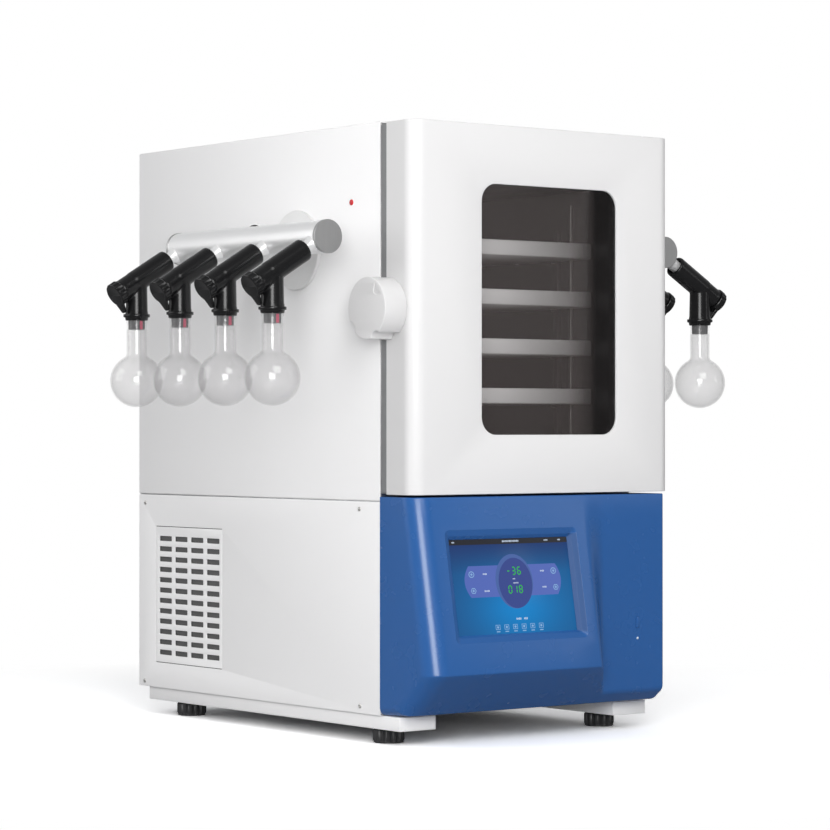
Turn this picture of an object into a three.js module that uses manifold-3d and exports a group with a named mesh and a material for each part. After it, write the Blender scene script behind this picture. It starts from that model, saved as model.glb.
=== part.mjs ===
// Shelf freeze dryer with a glazed vacuum chamber above and a refrigeration bay below.
// A four-port flask manifold hangs on each side. Millimetres, +Z up, the front faces -Y.
// The origin lies on the floor, under the middle of the whole outline.
import * as THREE from 'three';
import { mergeVertices } from 'three/addons/utils/BufferGeometryUtils.js';
import Module from 'manifold-3d';

const wasm = await Module();
wasm.setup();

// ---------------------------------------------------------------- driving dimensions
const seatGap = 0.3; // left between faces that rest on one another
const overrun = 1; // how far a cutter passes the face it cuts, and one joined solid enters another

// cabinet
const cabinetWidth = 514.4;
const cabinetDepth = 695.6;
const sheet = 2;
const lowerPanelHeight = 330.4;
const seamHeight = 1;
const upperCasingHeight = 588.6;
const lipWidth = 20;

// feet and base rails
const footRadius = 25;
const footHeight = 23.7;
const footFlutes = 14;
const footFluteDepth = 1.5;
const footStudRadius = 5;
const footFrontY = 30;
const footRearInset = 105;
const railWidth = 70;
const railHeight = 21.7;
const railWall = 3;
const railSideInset = 5;
const railFrontReach = 45;
const railRearInset = 25;

// vent slots
const slotWidth = 38.8;
const slotHeight = 8.5;
const slotPitchAcross = 48.7;
const slotPitchUp = 17.7;
const sideVentColumns = 4;
const sideVentRows = 12;
const sideVentRearInset = 157;
const sideVentRise = 158.6;
const rearVentColumns = 3;
const rearVentRows = 5;
const rearVentRise = 190;

// front frame and vacuum chamber
const frontFrameThickness = 3;
const chamberWidth = 394;
const chamberHeight = 410;
const chamberDepth = 470;
const chamberWall = 3;
const chamberLegWidth = 30;
const chamberLegSpacing = 315;

// shelves and their rack
const shelfCount = 4;
const shelfPitch = 79.3;
const shelfThickness = 25;
const shelfSideClearance = 14;
const shelfDepth = 420;
const shelfFrontY = 8;
const lowestShelfRise = 84;
const rackPostWidth = 8;
const rackPostDepth = 12;
const rackPostSetback = 90;
const rackLedgeReach = 15;
const rackLedgeThickness = 4;
const rackSideGap = 2.5;
const rackBarHeight = 8;

// cold trap coil, on the rear wall of the chamber
const coilTubeRadius = 6;
const coilTubeSides = 6;
const coilPasses = 5;
const coilPitch = 64;
const coilWidth = 260;
const coilBendHandle = 1.33; // reach of a bend's control points, in bend radii
const coilStepsPerPass = 10;

// door
const doorThickness = 67;
const doorSealDepth = 17;
const doorBottomGap = 10.6;
const doorTopGap = 2;
const doorWall = 4;
const doorHingeOverhang = 17;
const doorEdgeRadius = 24;
const windowWidth = 277.8;
const windowHeight = 391;
const windowOffsetX = 17.3;
const windowCornerRadius = 28;
const windowThickness = 25;
const windowLand = 14;
const sealWidth = 18;
const sealEdgeInset = 1;
const doorFramePlate = 5;
const doorFrameCollar = 8;
const paneBearing = 5;

// hinges on the right flank, behind the door's overhang
const hingeAxisOut = 9;
const hingeAxisY = -8.5;
const hingeKnuckleRadius = 7;
const hingePinRadius = 3.5;
const hingeHalfHeight = 28;
const hingeLeafThickness = 4;
const hingeLeafLength = 46;
const hingeEndInset = 80;
const hingeEarWidth = 5;

// latch knob on the left flank
const latchRadius = 48;
const latchHeight = 42;
const latchSetback = 5;
const latchDrop = 1;
const latchSpindleRadius = 3.5;
const latchNutRadius = 4.9;
const latchNutThickness = 4;
const latchNotchRadius = 13;
const latchNotchSetback = 6;
const latchNotchAngles = [218, 296];

// control console
const consoleTopReach = 86;
const consoleNoseReach = 49;
const consoleNoseRise = 68;
const consoleChinReach = 68;
const consoleChinRise = 3;
const consoleTopGap = 7.4;
const consoleWall = 4;
const consoleLeftEdgeRadius = 32;
const consoleRightEdgeRadius = 6;
const consoleBulgeEnd = 88;
const consoleValleyEnd = 118;

// touch screen
const screenWidth = 238;
const screenHeight = 149;
const screenThickness = 8;
const screenCentreX = -72.5;
const screenCentreRise = 201.5;
const bezelDepth = 10;
const bezelDraft = 12;
const bezelWall = 6;

// flask manifolds
const manifoldFrontY = 9;
const manifoldEndReach = 17.25;
const manifoldReach = 91;
const manifoldDrop = 181;
const manifoldTubeRadius = 25.5;
const manifoldWall = 3;
const manifoldFlangeRadius = 64;
const manifoldFlangeDepth = 7;
const manifoldFlangeDrop = 9;
const manifoldNeckRadius = 30;
const manifoldInletRadius = 20;
const portCount = 4;
const portPitch = 128.5;
const manifoldLength = (portCount - 1) * portPitch + 2 * manifoldEndReach;
const portSlope = THREE.MathUtils.degToRad(31);
const stubRadius = 10;
const stubBore = 7;
const stubEnd = 78;

// flask valves
const valveRadius = 18;
const valveStart = 40;
const valveEnd = 144;
const valveNeckAt = 108;
const valveNeckDrop = 120;
const valveCollarRadius = 21.5;
const valveCollarHeight = 5;
const valveCollarRise = 5.4;
const valvePlugRadius = 9;
const valvePlugLength = 22;
const adapterRadius = 13.6;
const adapterLength = 15;
const adapterBore = 7;
const knobRadius = 20;
const knobThickness = 13;
const leverLength = 33;
const leverRootWidth = 30;
const leverTipWidth = 9;
const leverThickness = 6;

// flasks
const flaskRadius = 42.5;
const flaskWall = 2.1;
const flaskNeckLength = 58;
const flaskSides = 14;
const flaskBands = 6;

// refrigeration bay
const compressorRadius = 78;
const compressorHeight = 190;
const compressorX = 70;
const compressorY = 430;
const compressorFlangeReach = 16;
const compressorFlangeThickness = 4;
const condenserDepth = 40;
const condenserWidth = 240;
const condenserHeight = 260;
const condenserSideGap = 26;
const fanRadius = 95;
const fanHubRadius = 24;
const fanHubLength = 16;
const fanShaftRadius = 4;
const fanMotorRadius = 20;
const fanMotorLength = 30;
const fanBlades = 5;
const fanBladeWidth = 40;
const fanBladeThickness = 2;
const fanBladePitch = THREE.MathUtils.degToRad(28);

// rear connections
const inletWidth = 48;
const inletHeight = 30;
const inletDepth = 24;
const inletProud = 5;
const inletX = -150;
const inletRise = 60;
const inletFlange = 3;
const inletRim = 5;
const inletBack = 4;
const portPipeRadius = 14;
const portPipeBore = 12;
const portFlangeRadius = 20;
const portFlangeThickness = 4;
const portProud = 30;
const portX = 110;
const portRise = 70;

// ---------------------------------------------------------------- derived places
const halfWidth = cabinetWidth / 2;
const insideHalfWidth = halfWidth - sheet - seatGap;
const railBottom = footHeight + seatGap;
const baseBottom = railBottom + railHeight + seatGap;
const baseTop = baseBottom + sheet;
const lowerTop = baseBottom + lowerPanelHeight;
const casingBottom = lowerTop + seamHeight;
const casingTop = casingBottom + upperCasingHeight;
const deckTop = casingBottom - seatGap;
const rearPanelY = cabinetDepth - sheet;
const doorBottom = casingBottom + doorBottomGap;
const doorTop = casingTop - doorTopGap;
const doorMiddle = (doorBottom + doorTop) / 2;
const doorRearY = -doorSealDepth - seatGap;
const doorFrontY = doorRearY - doorThickness + seatGap;
const windowRearY = doorFrontY + doorWall + seatGap + windowThickness;
const chamberFloor = doorMiddle - chamberHeight / 2;
const chamberFrontY = frontFrameThickness + seatGap;
const chamberRearY = chamberFrontY + chamberDepth;
const shelfHalfWidth = chamberWidth / 2 - shelfSideClearance;
const rackInside = shelfHalfWidth + rackSideGap;
const manifoldY = manifoldFrontY + manifoldLength / 2;
const manifoldZ = casingTop - manifoldDrop;
const doorRight = halfWidth + doorHingeOverhang;
const hingeX = halfWidth + hingeAxisOut;
const hingeLevels = [doorBottom + hingeEndInset, doorTop - hingeEndInset];
const latchY = doorRearY - latchSetback;
const latchZ = doorMiddle - latchDrop;
const frontMostY = -consoleTopReach - consoleNoseReach;
const rearMostY = cabinetDepth + portProud;

// ---------------------------------------------------------------- materials
function finish(color, roughness, metalness, extra = {}) {
  return new THREE.MeshStandardMaterial({ color, roughness, metalness, ...extra });
}

const whitePaint = finish(0xe9eaea, 0.42, 0);
const whiteMoulding = finish(0xeff0f0, 0.4, 0);
const bluePaint = finish(0x3f68a8, 0.38, 0);
const stainless = finish(0xb9bbbc, 0.32, 1);
const polished = finish(0xd8dadb, 0.18, 1);
const darkSteel = finish(0x4a4c4f, 0.45, 0.8);
const blackRubber = finish(0x17181a, 0.5, 0);
const footPlastic = finish(0x2b2d2f, 0.6, 0);
const sealRubber = finish(0x828486, 0.7, 0);
const clearGlass = finish(0xeef3f5, 0.05, 0, { transparent: true, opacity: 0.3 });
const tintedGlass = finish(0x4a4742, 0.05, 0, { transparent: true, opacity: 0.55 });
const screenGlass = finish(0x12306e, 0.12, 0);
const blackEnamel = finish(0x1c1d1f, 0.35, 0.2);
const finAluminium = finish(0xa9adb0, 0.5, 1);

// ---------------------------------------------------------------- solids
function toSolid(geometry) {
  const bare = geometry.index ? geometry.toNonIndexed() : geometry.clone();
  bare.deleteAttribute('normal');
  bare.deleteAttribute('uv');
  const merged = mergeVertices(bare, 1e-4);
  const vertProperties = new Float32Array(merged.attributes.position.array);
  const triVerts = new Uint32Array(merged.index.array);
  return new wasm.Manifold(new wasm.Mesh({ numProp: 3, vertProperties, triVerts }));
}

function toGeometry(solid) {
  const mesh = solid.getMesh();
  const geometry = new THREE.BufferGeometry();
  geometry.setAttribute('position', new THREE.BufferAttribute(mesh.vertProperties, 3));
  geometry.setIndex(new THREE.BufferAttribute(mesh.triVerts, 1));
  geometry.computeVertexNormals();
  return geometry;
}

function joined(solids) {
  return solids.reduce((whole, solid) => whole.add(solid));
}

function cut(solid, cutters) {
  return cutters.reduce((rest, cutter) => rest.subtract(cutter), solid);
}

// A box between two corners.
function block([x0, y0, z0], [x1, y1, z1]) {
  const geometry = new THREE.BoxGeometry(x1 - x0, y1 - y0, z1 - z0);
  geometry.translate((x0 + x1) / 2, (y0 + y1) / 2, (z0 + z1) / 2);
  return toSolid(geometry);
}

// A round bar between two points.
function rod(from, to, radius, sides = 16) {
  const start = new THREE.Vector3(...from);
  const along = new THREE.Vector3(...to).sub(start);
  const geometry = new THREE.CylinderGeometry(radius, radius, along.length(), sides);
  geometry.translate(0, along.length() / 2, 0);
  const turn = new THREE.Quaternion();
  turn.setFromUnitVectors(new THREE.Vector3(0, 1, 0), along.normalize());
  geometry.applyQuaternion(turn);
  geometry.translate(...from);
  return toSolid(geometry);
}

// The radius of a faceted hole whose flats clear a round bar of the given radius.
function clearing(radius, sides) {
  return (radius + seatGap) / Math.cos(Math.PI / sides);
}

// A faceted hole that clears a round bar of the given radius.
function hole(from, to, radius, sides = 16) {
  return rod(from, to, clearing(radius, sides), sides);
}

// A turned solid: radius and height pairs from the axis at the bottom to the axis at the top.
function turned(profile, sides) {
  const points = profile.map(([radius, height]) => new THREE.Vector2(radius, height));
  const geometry = new THREE.LatheGeometry(points, sides);
  geometry.rotateX(Math.PI / 2);
  return toSolid(geometry);
}

// A flat outline in X and Z, given depth along Y.
function slab(shape, y0, y1, segments = 3) {
  const depth = y1 - y0;
  const geometry = new THREE.ExtrudeGeometry(shape, { depth, bevelEnabled: false, curveSegments: segments });
  geometry.rotateX(Math.PI / 2);
  geometry.translate(0, y1, 0);
  return toSolid(geometry);
}

// A flat outline in X and Y, given height along Z.
function column(shape, z0, z1, segments = 4) {
  const depth = z1 - z0;
  const geometry = new THREE.ExtrudeGeometry(shape, { depth, bevelEnabled: false, curveSegments: segments });
  geometry.translate(0, 0, z0);
  return toSolid(geometry);
}

// A solid through a row of outlines that all have the same number of points, ends closed.
function loft(outlines) {
  const count = outlines[0].length;
  const corner = (row, point) => outlines[row][point % count];
  const positions = [];
  for (let row = 0; row < outlines.length - 1; row += 1) {
    for (let point = 0; point < count; point += 1) {
      const low = [corner(row, point), corner(row, point + 1)];
      const high = [corner(row + 1, point), corner(row + 1, point + 1)];
      positions.push(...low[0], ...low[1], ...high[1]);
      positions.push(...low[0], ...high[1], ...high[0]);
    }
  }
  const last = outlines.length - 1;
  for (let point = 1; point < count - 1; point += 1) {
    positions.push(...corner(0, 0), ...corner(0, point + 1), ...corner(0, point));
    positions.push(...corner(last, 0), ...corner(last, point), ...corner(last, point + 1));
  }
  const geometry = new THREE.BufferGeometry();
  geometry.setAttribute('position', new THREE.Float32BufferAttribute(positions, 3));
  return toSolid(geometry);
}

function roundedRectangle(x0, y0, x1, y1, radius) {
  const shape = new THREE.Shape();
  shape.moveTo(x0 + radius, y0);
  shape.lineTo(x1 - radius, y0);
  shape.absarc(x1 - radius, y0 + radius, radius, -Math.PI / 2, 0);
  shape.lineTo(x1, y1 - radius);
  shape.absarc(x1 - radius, y1 - radius, radius, 0, Math.PI / 2);
  shape.lineTo(x0 + radius, y1);
  shape.absarc(x0 + radius, y1 - radius, radius, Math.PI / 2, Math.PI);
  shape.lineTo(x0, y0 + radius);
  shape.absarc(x0 + radius, y0 + radius, radius, Math.PI, Math.PI * 1.5);
  return shape;
}

// A grid of vent slots: slotAt gives one slot's solid, u across and v up from the middle of the grid.
function ventSlots(columns, rows, slotAt) {
  const slots = [];
  for (let across = 0; across < columns; across += 1) {
    for (let up = 0; up < rows; up += 1) {
      slots.push(slotAt((across - (columns - 1) / 2) * slotPitchAcross, (up - (rows - 1) / 2) * slotPitchUp));
    }
  }
  return joined(slots);
}

function piece(name, solid, material) {
  const mesh = new THREE.Mesh(toGeometry(solid), material);
  mesh.name = name;
  return mesh;
}

// ---------------------------------------------------------------- base
function levellingFoot(name, x, y) {
  const flutes = new THREE.Shape();
  const steps = footFlutes * 2;
  for (let step = 0; step < steps; step += 1) {
    const angle = (step / steps) * Math.PI * 2;
    const radius = step % 2 === 0 ? footRadius : footRadius - footFluteDepth;
    const corner = [radius * Math.cos(angle), radius * Math.sin(angle)];
    if (step === 0) flutes.moveTo(...corner);
    else flutes.lineTo(...corner);
  }
  flutes.closePath();
  const studTop = railBottom + railHeight - railWall + overrun;
  const foot = piece(name, joined([
    column(flutes, 0, footHeight),
    rod([0, 0, footHeight - overrun], [0, 0, studTop], footStudRadius, 8),
  ]), footPlastic);
  foot.position.set(x, y, 0);
  return foot;
}

// A folded channel, open below, with a clearance hole in its web for each foot's stud.
function baseRail(name, side) {
  const centre = side * (halfWidth - railSideInset - railWidth / 2);
  const front = -railFrontReach;
  const rear = cabinetDepth - railRearInset;
  const top = railBottom + railHeight;
  const outer = block([centre - railWidth / 2, front, railBottom], [centre + railWidth / 2, rear, top]);
  const hollow = block([centre - railWidth / 2 + railWall, front + railWall, railBottom - overrun],
    [centre + railWidth / 2 - railWall, rear - railWall, top - railWall]);
  const studHoles = [footFrontY, cabinetDepth - footRearInset].map((y) => (
    hole([centre, y, top - railWall - overrun], [centre, y, top + overrun], footStudRadius, 8)));
  return piece(name, cut(outer, [hollow, ...studHoles]), whitePaint);
}

function base() {
  const parts = [baseRail('base_rail_left', -1), baseRail('base_rail_right', 1)];
  for (const [sideName, side] of [['left', -1], ['right', 1]]) {
    const x = side * (halfWidth - railSideInset - railWidth / 2);
    parts.push(levellingFoot(`levelling_foot_front_${sideName}`, x, footFrontY));
    parts.push(levellingFoot(`levelling_foot_rear_${sideName}`, x, cabinetDepth - footRearInset));
  }
  const pan = block([-insideHalfWidth, seatGap, baseBottom], [insideHalfWidth, cabinetDepth, baseTop]);
  parts.push(piece('base_plate', pan, finAluminium));
  return parts;
}

// ---------------------------------------------------------------- sheet metal
// A lower side panel: a slotted sheet with a lip folded in along its bottom and its top.
function lowerSidePanel(name, side) {
  const [x0, x1] = side < 0 ? [-halfWidth, -halfWidth + sheet] : [halfWidth - sheet, halfWidth];
  const ventY = cabinetDepth - sideVentRearInset;
  const ventZ = baseBottom + sideVentRise;
  const slots = ventSlots(sideVentColumns, sideVentRows, (u, v) => block(
    [x0 - overrun, ventY + u - slotWidth / 2, ventZ + v - slotHeight / 2],
    [x1 + overrun, ventY + u + slotWidth / 2, ventZ + v + slotHeight / 2]));
  const skin = block([x0, 0, baseBottom], [x1, cabinetDepth, lowerTop]);
  const lips = [baseTop + seatGap, deckTop - 2 * sheet - seatGap].map((z) => {
    const edges = [side * (halfWidth - sheet - lipWidth), side * (halfWidth - sheet / 2)];
    return block([Math.min(...edges), sheet, z], [Math.max(...edges), rearPanelY - seatGap, z + sheet]);
  });
  return piece(name, joined([skin, ...lips]).subtract(slots), whitePaint);
}

// The upper casing: one sheet bent over the top, with lips folded in below.
function upperCasing() {
  const outer = block([-halfWidth, 0, casingBottom], [halfWidth, cabinetDepth, casingTop]);
  const inner = block([-halfWidth + sheet, -overrun, casingBottom + sheet],
    [halfWidth - sheet, cabinetDepth + overrun, casingTop - sheet]);
  const mouth = block([-halfWidth + sheet + lipWidth, -overrun, casingBottom - overrun],
    [halfWidth - sheet - lipWidth, cabinetDepth + overrun, casingBottom + sheet + overrun]);
  const pipeHole = hole([-halfWidth - overrun, manifoldY, manifoldZ],
    [halfWidth + overrun, manifoldY, manifoldZ], manifoldInletRadius);
  const rearNotch = block([-halfWidth + sheet, rearPanelY - seatGap, casingBottom - overrun],
    [halfWidth - sheet, cabinetDepth + overrun, casingBottom + sheet + overrun]);
  return piece('upper_casing', cut(outer, [inner, mouth, pipeHole, rearNotch]), whitePaint);
}

function rearPanel() {
  const ventZ = baseBottom + rearVentRise;
  const pipeZ = chamberFloor + portRise;
  const socketZ = baseBottom + inletRise;
  const skin = block([-insideHalfWidth, rearPanelY, baseTop + seatGap],
    [insideHalfWidth, cabinetDepth, casingTop - sheet - seatGap]);
  return piece('rear_panel', cut(skin, [
    ventSlots(rearVentColumns, rearVentRows, (u, v) => block(
      [u - slotWidth / 2, rearPanelY - overrun, ventZ + v - slotHeight / 2],
      [u + slotWidth / 2, cabinetDepth + overrun, ventZ + v + slotHeight / 2])),
    hole([portX, rearPanelY - overrun, pipeZ], [portX, cabinetDepth + overrun, pipeZ], portPipeRadius),
    block([inletX - inletWidth / 2 - seatGap, rearPanelY - overrun, socketZ - inletHeight / 2 - seatGap],
      [inletX + inletWidth / 2 + seatGap, cabinetDepth + overrun, socketZ + inletHeight / 2 + seatGap]),
  ]), whitePaint);
}

function sheetMetal() {
  const deck = block([-insideHalfWidth, seatGap, deckTop - sheet],
    [insideHalfWidth, rearPanelY - seatGap, deckTop]);
  const frame = cut(
    block([-insideHalfWidth, 0, casingBottom + sheet + seatGap],
      [insideHalfWidth, frontFrameThickness, casingTop - sheet - seatGap]),
    [block([-chamberWidth / 2, -overrun, chamberFloor],
      [chamberWidth / 2, frontFrameThickness + overrun, chamberFloor + chamberHeight])]);
  return [
    lowerSidePanel('lower_side_panel_left', -1),
    lowerSidePanel('lower_side_panel_right', 1),
    upperCasing(),
    rearPanel(),
    piece('chamber_deck', deck, finAluminium),
    piece('front_frame', frame, stainless),
  ];
}

// ---------------------------------------------------------------- vacuum chamber
// A welded box open to the front, on two channels that stand on the deck.
function vacuumChamber() {
  const half = chamberWidth / 2;
  const outer = block([-half - chamberWall, chamberFrontY, chamberFloor - chamberWall],
    [half + chamberWall, chamberRearY + chamberWall, chamberFloor + chamberHeight + chamberWall]);
  const legX = chamberLegSpacing / 2;
  const legs = [-legX, legX].map((x) => block(
    [x - chamberLegWidth / 2, chamberFrontY, deckTop + seatGap],
    [x + chamberLegWidth / 2, chamberRearY, chamberFloor - chamberWall / 2]));
  const inner = block([-half, chamberFrontY - overrun, chamberFloor],
    [half, chamberRearY, chamberFloor + chamberHeight]);
  const holeEnd = half + chamberWall + overrun;
  const sideHole = rod([-holeEnd, manifoldY, manifoldZ], [holeEnd, manifoldY, manifoldZ],
    manifoldInletRadius - manifoldWall);
  const rearHole = rod([portX, chamberRearY - overrun, chamberFloor + portRise],
    [portX, chamberRearY + chamberWall + overrun, chamberFloor + portRise], portPipeBore);
  return piece('vacuum_chamber', cut(joined([outer, ...legs]), [inner, sideHole, rearHole]), stainless);
}

function shelfTop(level) {
  return chamberFloor + lowestShelfRise + level * shelfPitch;
}

function shelves() {
  return Array.from({ length: shelfCount }, (_, level) => piece(`heated_shelf_${level + 1}`,
    block([-shelfHalfWidth, shelfFrontY, shelfTop(level) - shelfThickness],
      [shelfHalfWidth, shelfFrontY + shelfDepth, shelfTop(level)]), stainless));
}

// Four posts on a bottom frame, with a ledge on each post under each shelf.
function shelfRack() {
  const outside = rackInside + rackPostWidth;
  const bottom = chamberFloor + seatGap;
  const top = shelfTop(shelfCount - 1) + shelfThickness;
  const firstRow = shelfFrontY + rackPostSetback;
  const lastRow = shelfFrontY + shelfDepth - rackPostSetback - rackPostDepth;
  const postRows = [firstRow, lastRow];
  const bars = [];
  for (const y of postRows) {
    bars.push(block([-outside, y, bottom], [outside, y + rackPostDepth, bottom + rackBarHeight]));
    for (const side of [-1, 1]) {
      const postEdges = [side * rackInside, side * outside].sort((a, b) => a - b);
      const ledgeEdges = [side * (rackInside + overrun), side * (rackInside - rackLedgeReach)]
        .sort((a, b) => a - b);
      bars.push(block([postEdges[0], y, bottom], [postEdges[1], y + rackPostDepth, top]));
      for (let level = 0; level < shelfCount; level += 1) {
        const z = shelfTop(level) - shelfThickness - seatGap;
        bars.push(block([ledgeEdges[0], y, z - rackLedgeThickness], [ledgeEdges[1], y + rackPostDepth, z]));
      }
    }
  }
  for (const side of [-1, 1]) {
    const edges = [side * rackInside, side * outside].sort((a, b) => a - b);
    bars.push(block([edges[0], postRows[0], bottom],
      [edges[1], postRows[1] + rackPostDepth, bottom + rackBarHeight]));
  }
  return piece('shelf_rack', joined(bars), stainless);
}

// A flat serpentine of tube on the rear wall.
function coldTrapCoil() {
  const bend = coilPitch / 2;
  const straight = coilWidth / 2;
  const y = chamberRearY - coilTubeRadius * Math.cos(Math.PI / coilTubeSides) - seatGap;
  const firstZ = doorMiddle - ((coilPasses - 1) / 2) * coilPitch;
  const route = new THREE.CurvePath();
  const at = (x, z) => new THREE.Vector3(x, y, z);
  for (let pass = 0; pass < coilPasses; pass += 1) {
    const side = pass % 2 === 0 ? 1 : -1;
    const z = firstZ + pass * coilPitch;
    route.add(new THREE.LineCurve3(at(-side * straight, z), at(side * straight, z)));
    if (pass < coilPasses - 1) {
      const reach = side * (straight + bend * coilBendHandle);
      route.add(new THREE.CubicBezierCurve3(at(side * straight, z), at(reach, z),
        at(reach, z + coilPitch), at(side * straight, z + coilPitch)));
    }
  }
  const section = new THREE.Shape();
  section.absarc(0, 0, coilTubeRadius, 0, Math.PI * 2);
  const geometry = new THREE.ExtrudeGeometry(section, {
    steps: coilPasses * coilStepsPerPass,
    curveSegments: coilTubeSides / 2,
    extrudePath: route,
    bevelEnabled: false,
  });
  return piece('cold_trap_coil', toSolid(geometry), stainless);
}

// ---------------------------------------------------------------- door
function windowOutline(margin, radius) {
  return roundedRectangle(windowOffsetX - windowWidth / 2 - margin, doorMiddle - windowHeight / 2 - margin,
    windowOffsetX + windowWidth / 2 + margin, doorMiddle + windowHeight / 2 + margin, radius);
}

// Plan of the door: square at the rear, rounded at both front edges.
function doorPlan(inset, rearY) {
  const left = -halfWidth + inset;
  const right = doorRight - inset;
  const front = doorFrontY + inset;
  const radius = doorEdgeRadius - inset;
  const shape = new THREE.Shape();
  shape.moveTo(right, rearY);
  shape.lineTo(left, rearY);
  shape.lineTo(left, front + radius);
  shape.absarc(left + radius, front + radius, radius, Math.PI, Math.PI * 1.5);
  shape.lineTo(right - radius, front);
  shape.absarc(right - radius, front + radius, radius, -Math.PI / 2, 0);
  shape.closePath();
  return shape;
}

// The moulded door skin: a tray open to the rear, with the window opening in its front.
function doorShell() {
  const spindleHole = hole([-halfWidth - overrun, latchY, latchZ],
    [-halfWidth + doorWall + overrun, latchY, latchZ], latchSpindleRadius);
  const skin = cut(column(doorPlan(0, doorRearY), doorBottom, doorTop), [
    column(doorPlan(doorWall, doorRearY + overrun), doorBottom + doorWall, doorTop - doorWall),
    slab(windowOutline(0, windowCornerRadius), doorFrontY - overrun, doorFrontY + doorWall + overrun),
    spindleHole,
  ]);
  return piece('door_shell', skin, whiteMoulding);
}

// The door's steel frame: a plate across its rear, a collar that clamps the window, and two hinge ears.
function doorFrame() {
  const left = -halfWidth + doorWall + latchSpindleRadius + latchNutRadius;
  const right = doorRight - doorWall - seatGap;
  const plateFrontY = doorRearY - doorFramePlate;
  const openingMargin = windowLand - paneBearing;
  const plate = block([left, plateFrontY, doorBottom + doorWall + seatGap],
    [right, doorRearY, doorTop - doorWall - seatGap]);
  const collar = slab(windowOutline(openingMargin + doorFrameCollar, windowCornerRadius),
    windowRearY + seatGap, plateFrontY + overrun);
  const ears = hingeLevels.flatMap((z) => [
    block([hingeX - hingeEarWidth / 2, plateFrontY, z],
      [hingeX + hingeEarWidth / 2, hingeAxisY, z + hingeHalfHeight]),
    rod([hingeX, hingeAxisY, z], [hingeX, hingeAxisY, z + hingeHalfHeight], hingeKnuckleRadius),
  ]);
  const opening = slab(windowOutline(openingMargin, windowCornerRadius),
    windowRearY, doorRearY + overrun);
  const pinHoles = hingeLevels.map((z) => (
    hole([hingeX, hingeAxisY, z - overrun],
      [hingeX, hingeAxisY, z + hingeHalfHeight + overrun], hingePinRadius)));
  return piece('door_frame', cut(joined([plate, collar, ...ears]), [opening, ...pinHoles]), darkSteel);
}

function doorSeal() {
  const edge = halfWidth - sealEdgeInset;
  const low = doorBottom + sealEdgeInset;
  const high = doorTop - sealEdgeInset;
  const ring = cut(
    block([-edge, -doorSealDepth, low], [edge, -seatGap, high]),
    [block([-edge + sealWidth, -doorSealDepth - overrun, low + sealWidth],
      [edge - sealWidth, overrun, high - sealWidth])]);
  return piece('door_seal', ring, sealRubber);
}

// The fixed half of a hinge: a leaf on the casing's flank, a knuckle and an upright pin.
function hingeBracket(name, z) {
  const leafInner = halfWidth + seatGap;
  const knuckleTop = z - seatGap;
  return piece(name, joined([
    block([leafInner, hingeAxisY, z - hingeHalfHeight],
      [leafInner + hingeLeafThickness, hingeLeafLength, knuckleTop]),
    rod([hingeX, hingeAxisY, z - hingeHalfHeight], [hingeX, hingeAxisY, knuckleTop], hingeKnuckleRadius),
    rod([hingeX, hingeAxisY, z - hingeHalfHeight], [hingeX, hingeAxisY, z + hingeHalfHeight], hingePinRadius),
  ]), stainless);
}

// The latch knob turns about X on a spindle through the door's flank, held by a nut inside.
function latchKnob() {
  const outer = -halfWidth - seatGap;
  const notches = latchNotchAngles.map((degrees) => {
    const angle = THREE.MathUtils.degToRad(degrees);
    const y = latchY - (latchRadius + latchNotchSetback) * Math.cos(angle);
    const z = latchZ + (latchRadius + latchNotchSetback) * Math.sin(angle);
    return rod([outer - latchHeight - overrun, y, z], [outer + overrun, y, z], latchNotchRadius, 12);
  });
  const drum = rod([outer, latchY, latchZ], [outer - latchHeight, latchY, latchZ], latchRadius, 28);
  const knob = cut(drum, notches);
  const inside = -halfWidth + doorWall + seatGap;
  return piece('door_latch_knob', joined([
    knob,
    rod([outer - overrun, latchY, latchZ], [inside + overrun, latchY, latchZ], latchSpindleRadius),
    rod([inside, latchY, latchZ], [inside + latchNutThickness, latchY, latchZ], latchNutRadius, 6),
  ]), whiteMoulding);
}

function door() {
  const pane = slab(windowOutline(windowLand, windowCornerRadius),
    doorFrontY + doorWall + seatGap, windowRearY);
  return [
    doorShell(),
    doorFrame(),
    piece('door_window', pane, tintedGlass),
    doorSeal(),
    hingeBracket('door_hinge_lower', hingeLevels[0]),
    hingeBracket('door_hinge_upper', hingeLevels[1]),
    latchKnob(),
  ];
}

// ---------------------------------------------------------------- console
// How far the front face of the console swells out at a given x: full on the left, none past the valley.
function consoleSwell(x) {
  const along = THREE.MathUtils.clamp((x - consoleBulgeEnd) / (consoleValleyEnd - consoleBulgeEnd), 0, 1);
  return 1 - along * along * (3 - 2 * along);
}

function consoleEdgeSetback(x, half, radius) {
  const inFromEdge = half - Math.abs(x);
  if (inFromEdge >= radius) return 0;
  return radius - Math.sqrt(Math.max(0, radius ** 2 - (radius - inFromEdge) ** 2));
}

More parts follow.
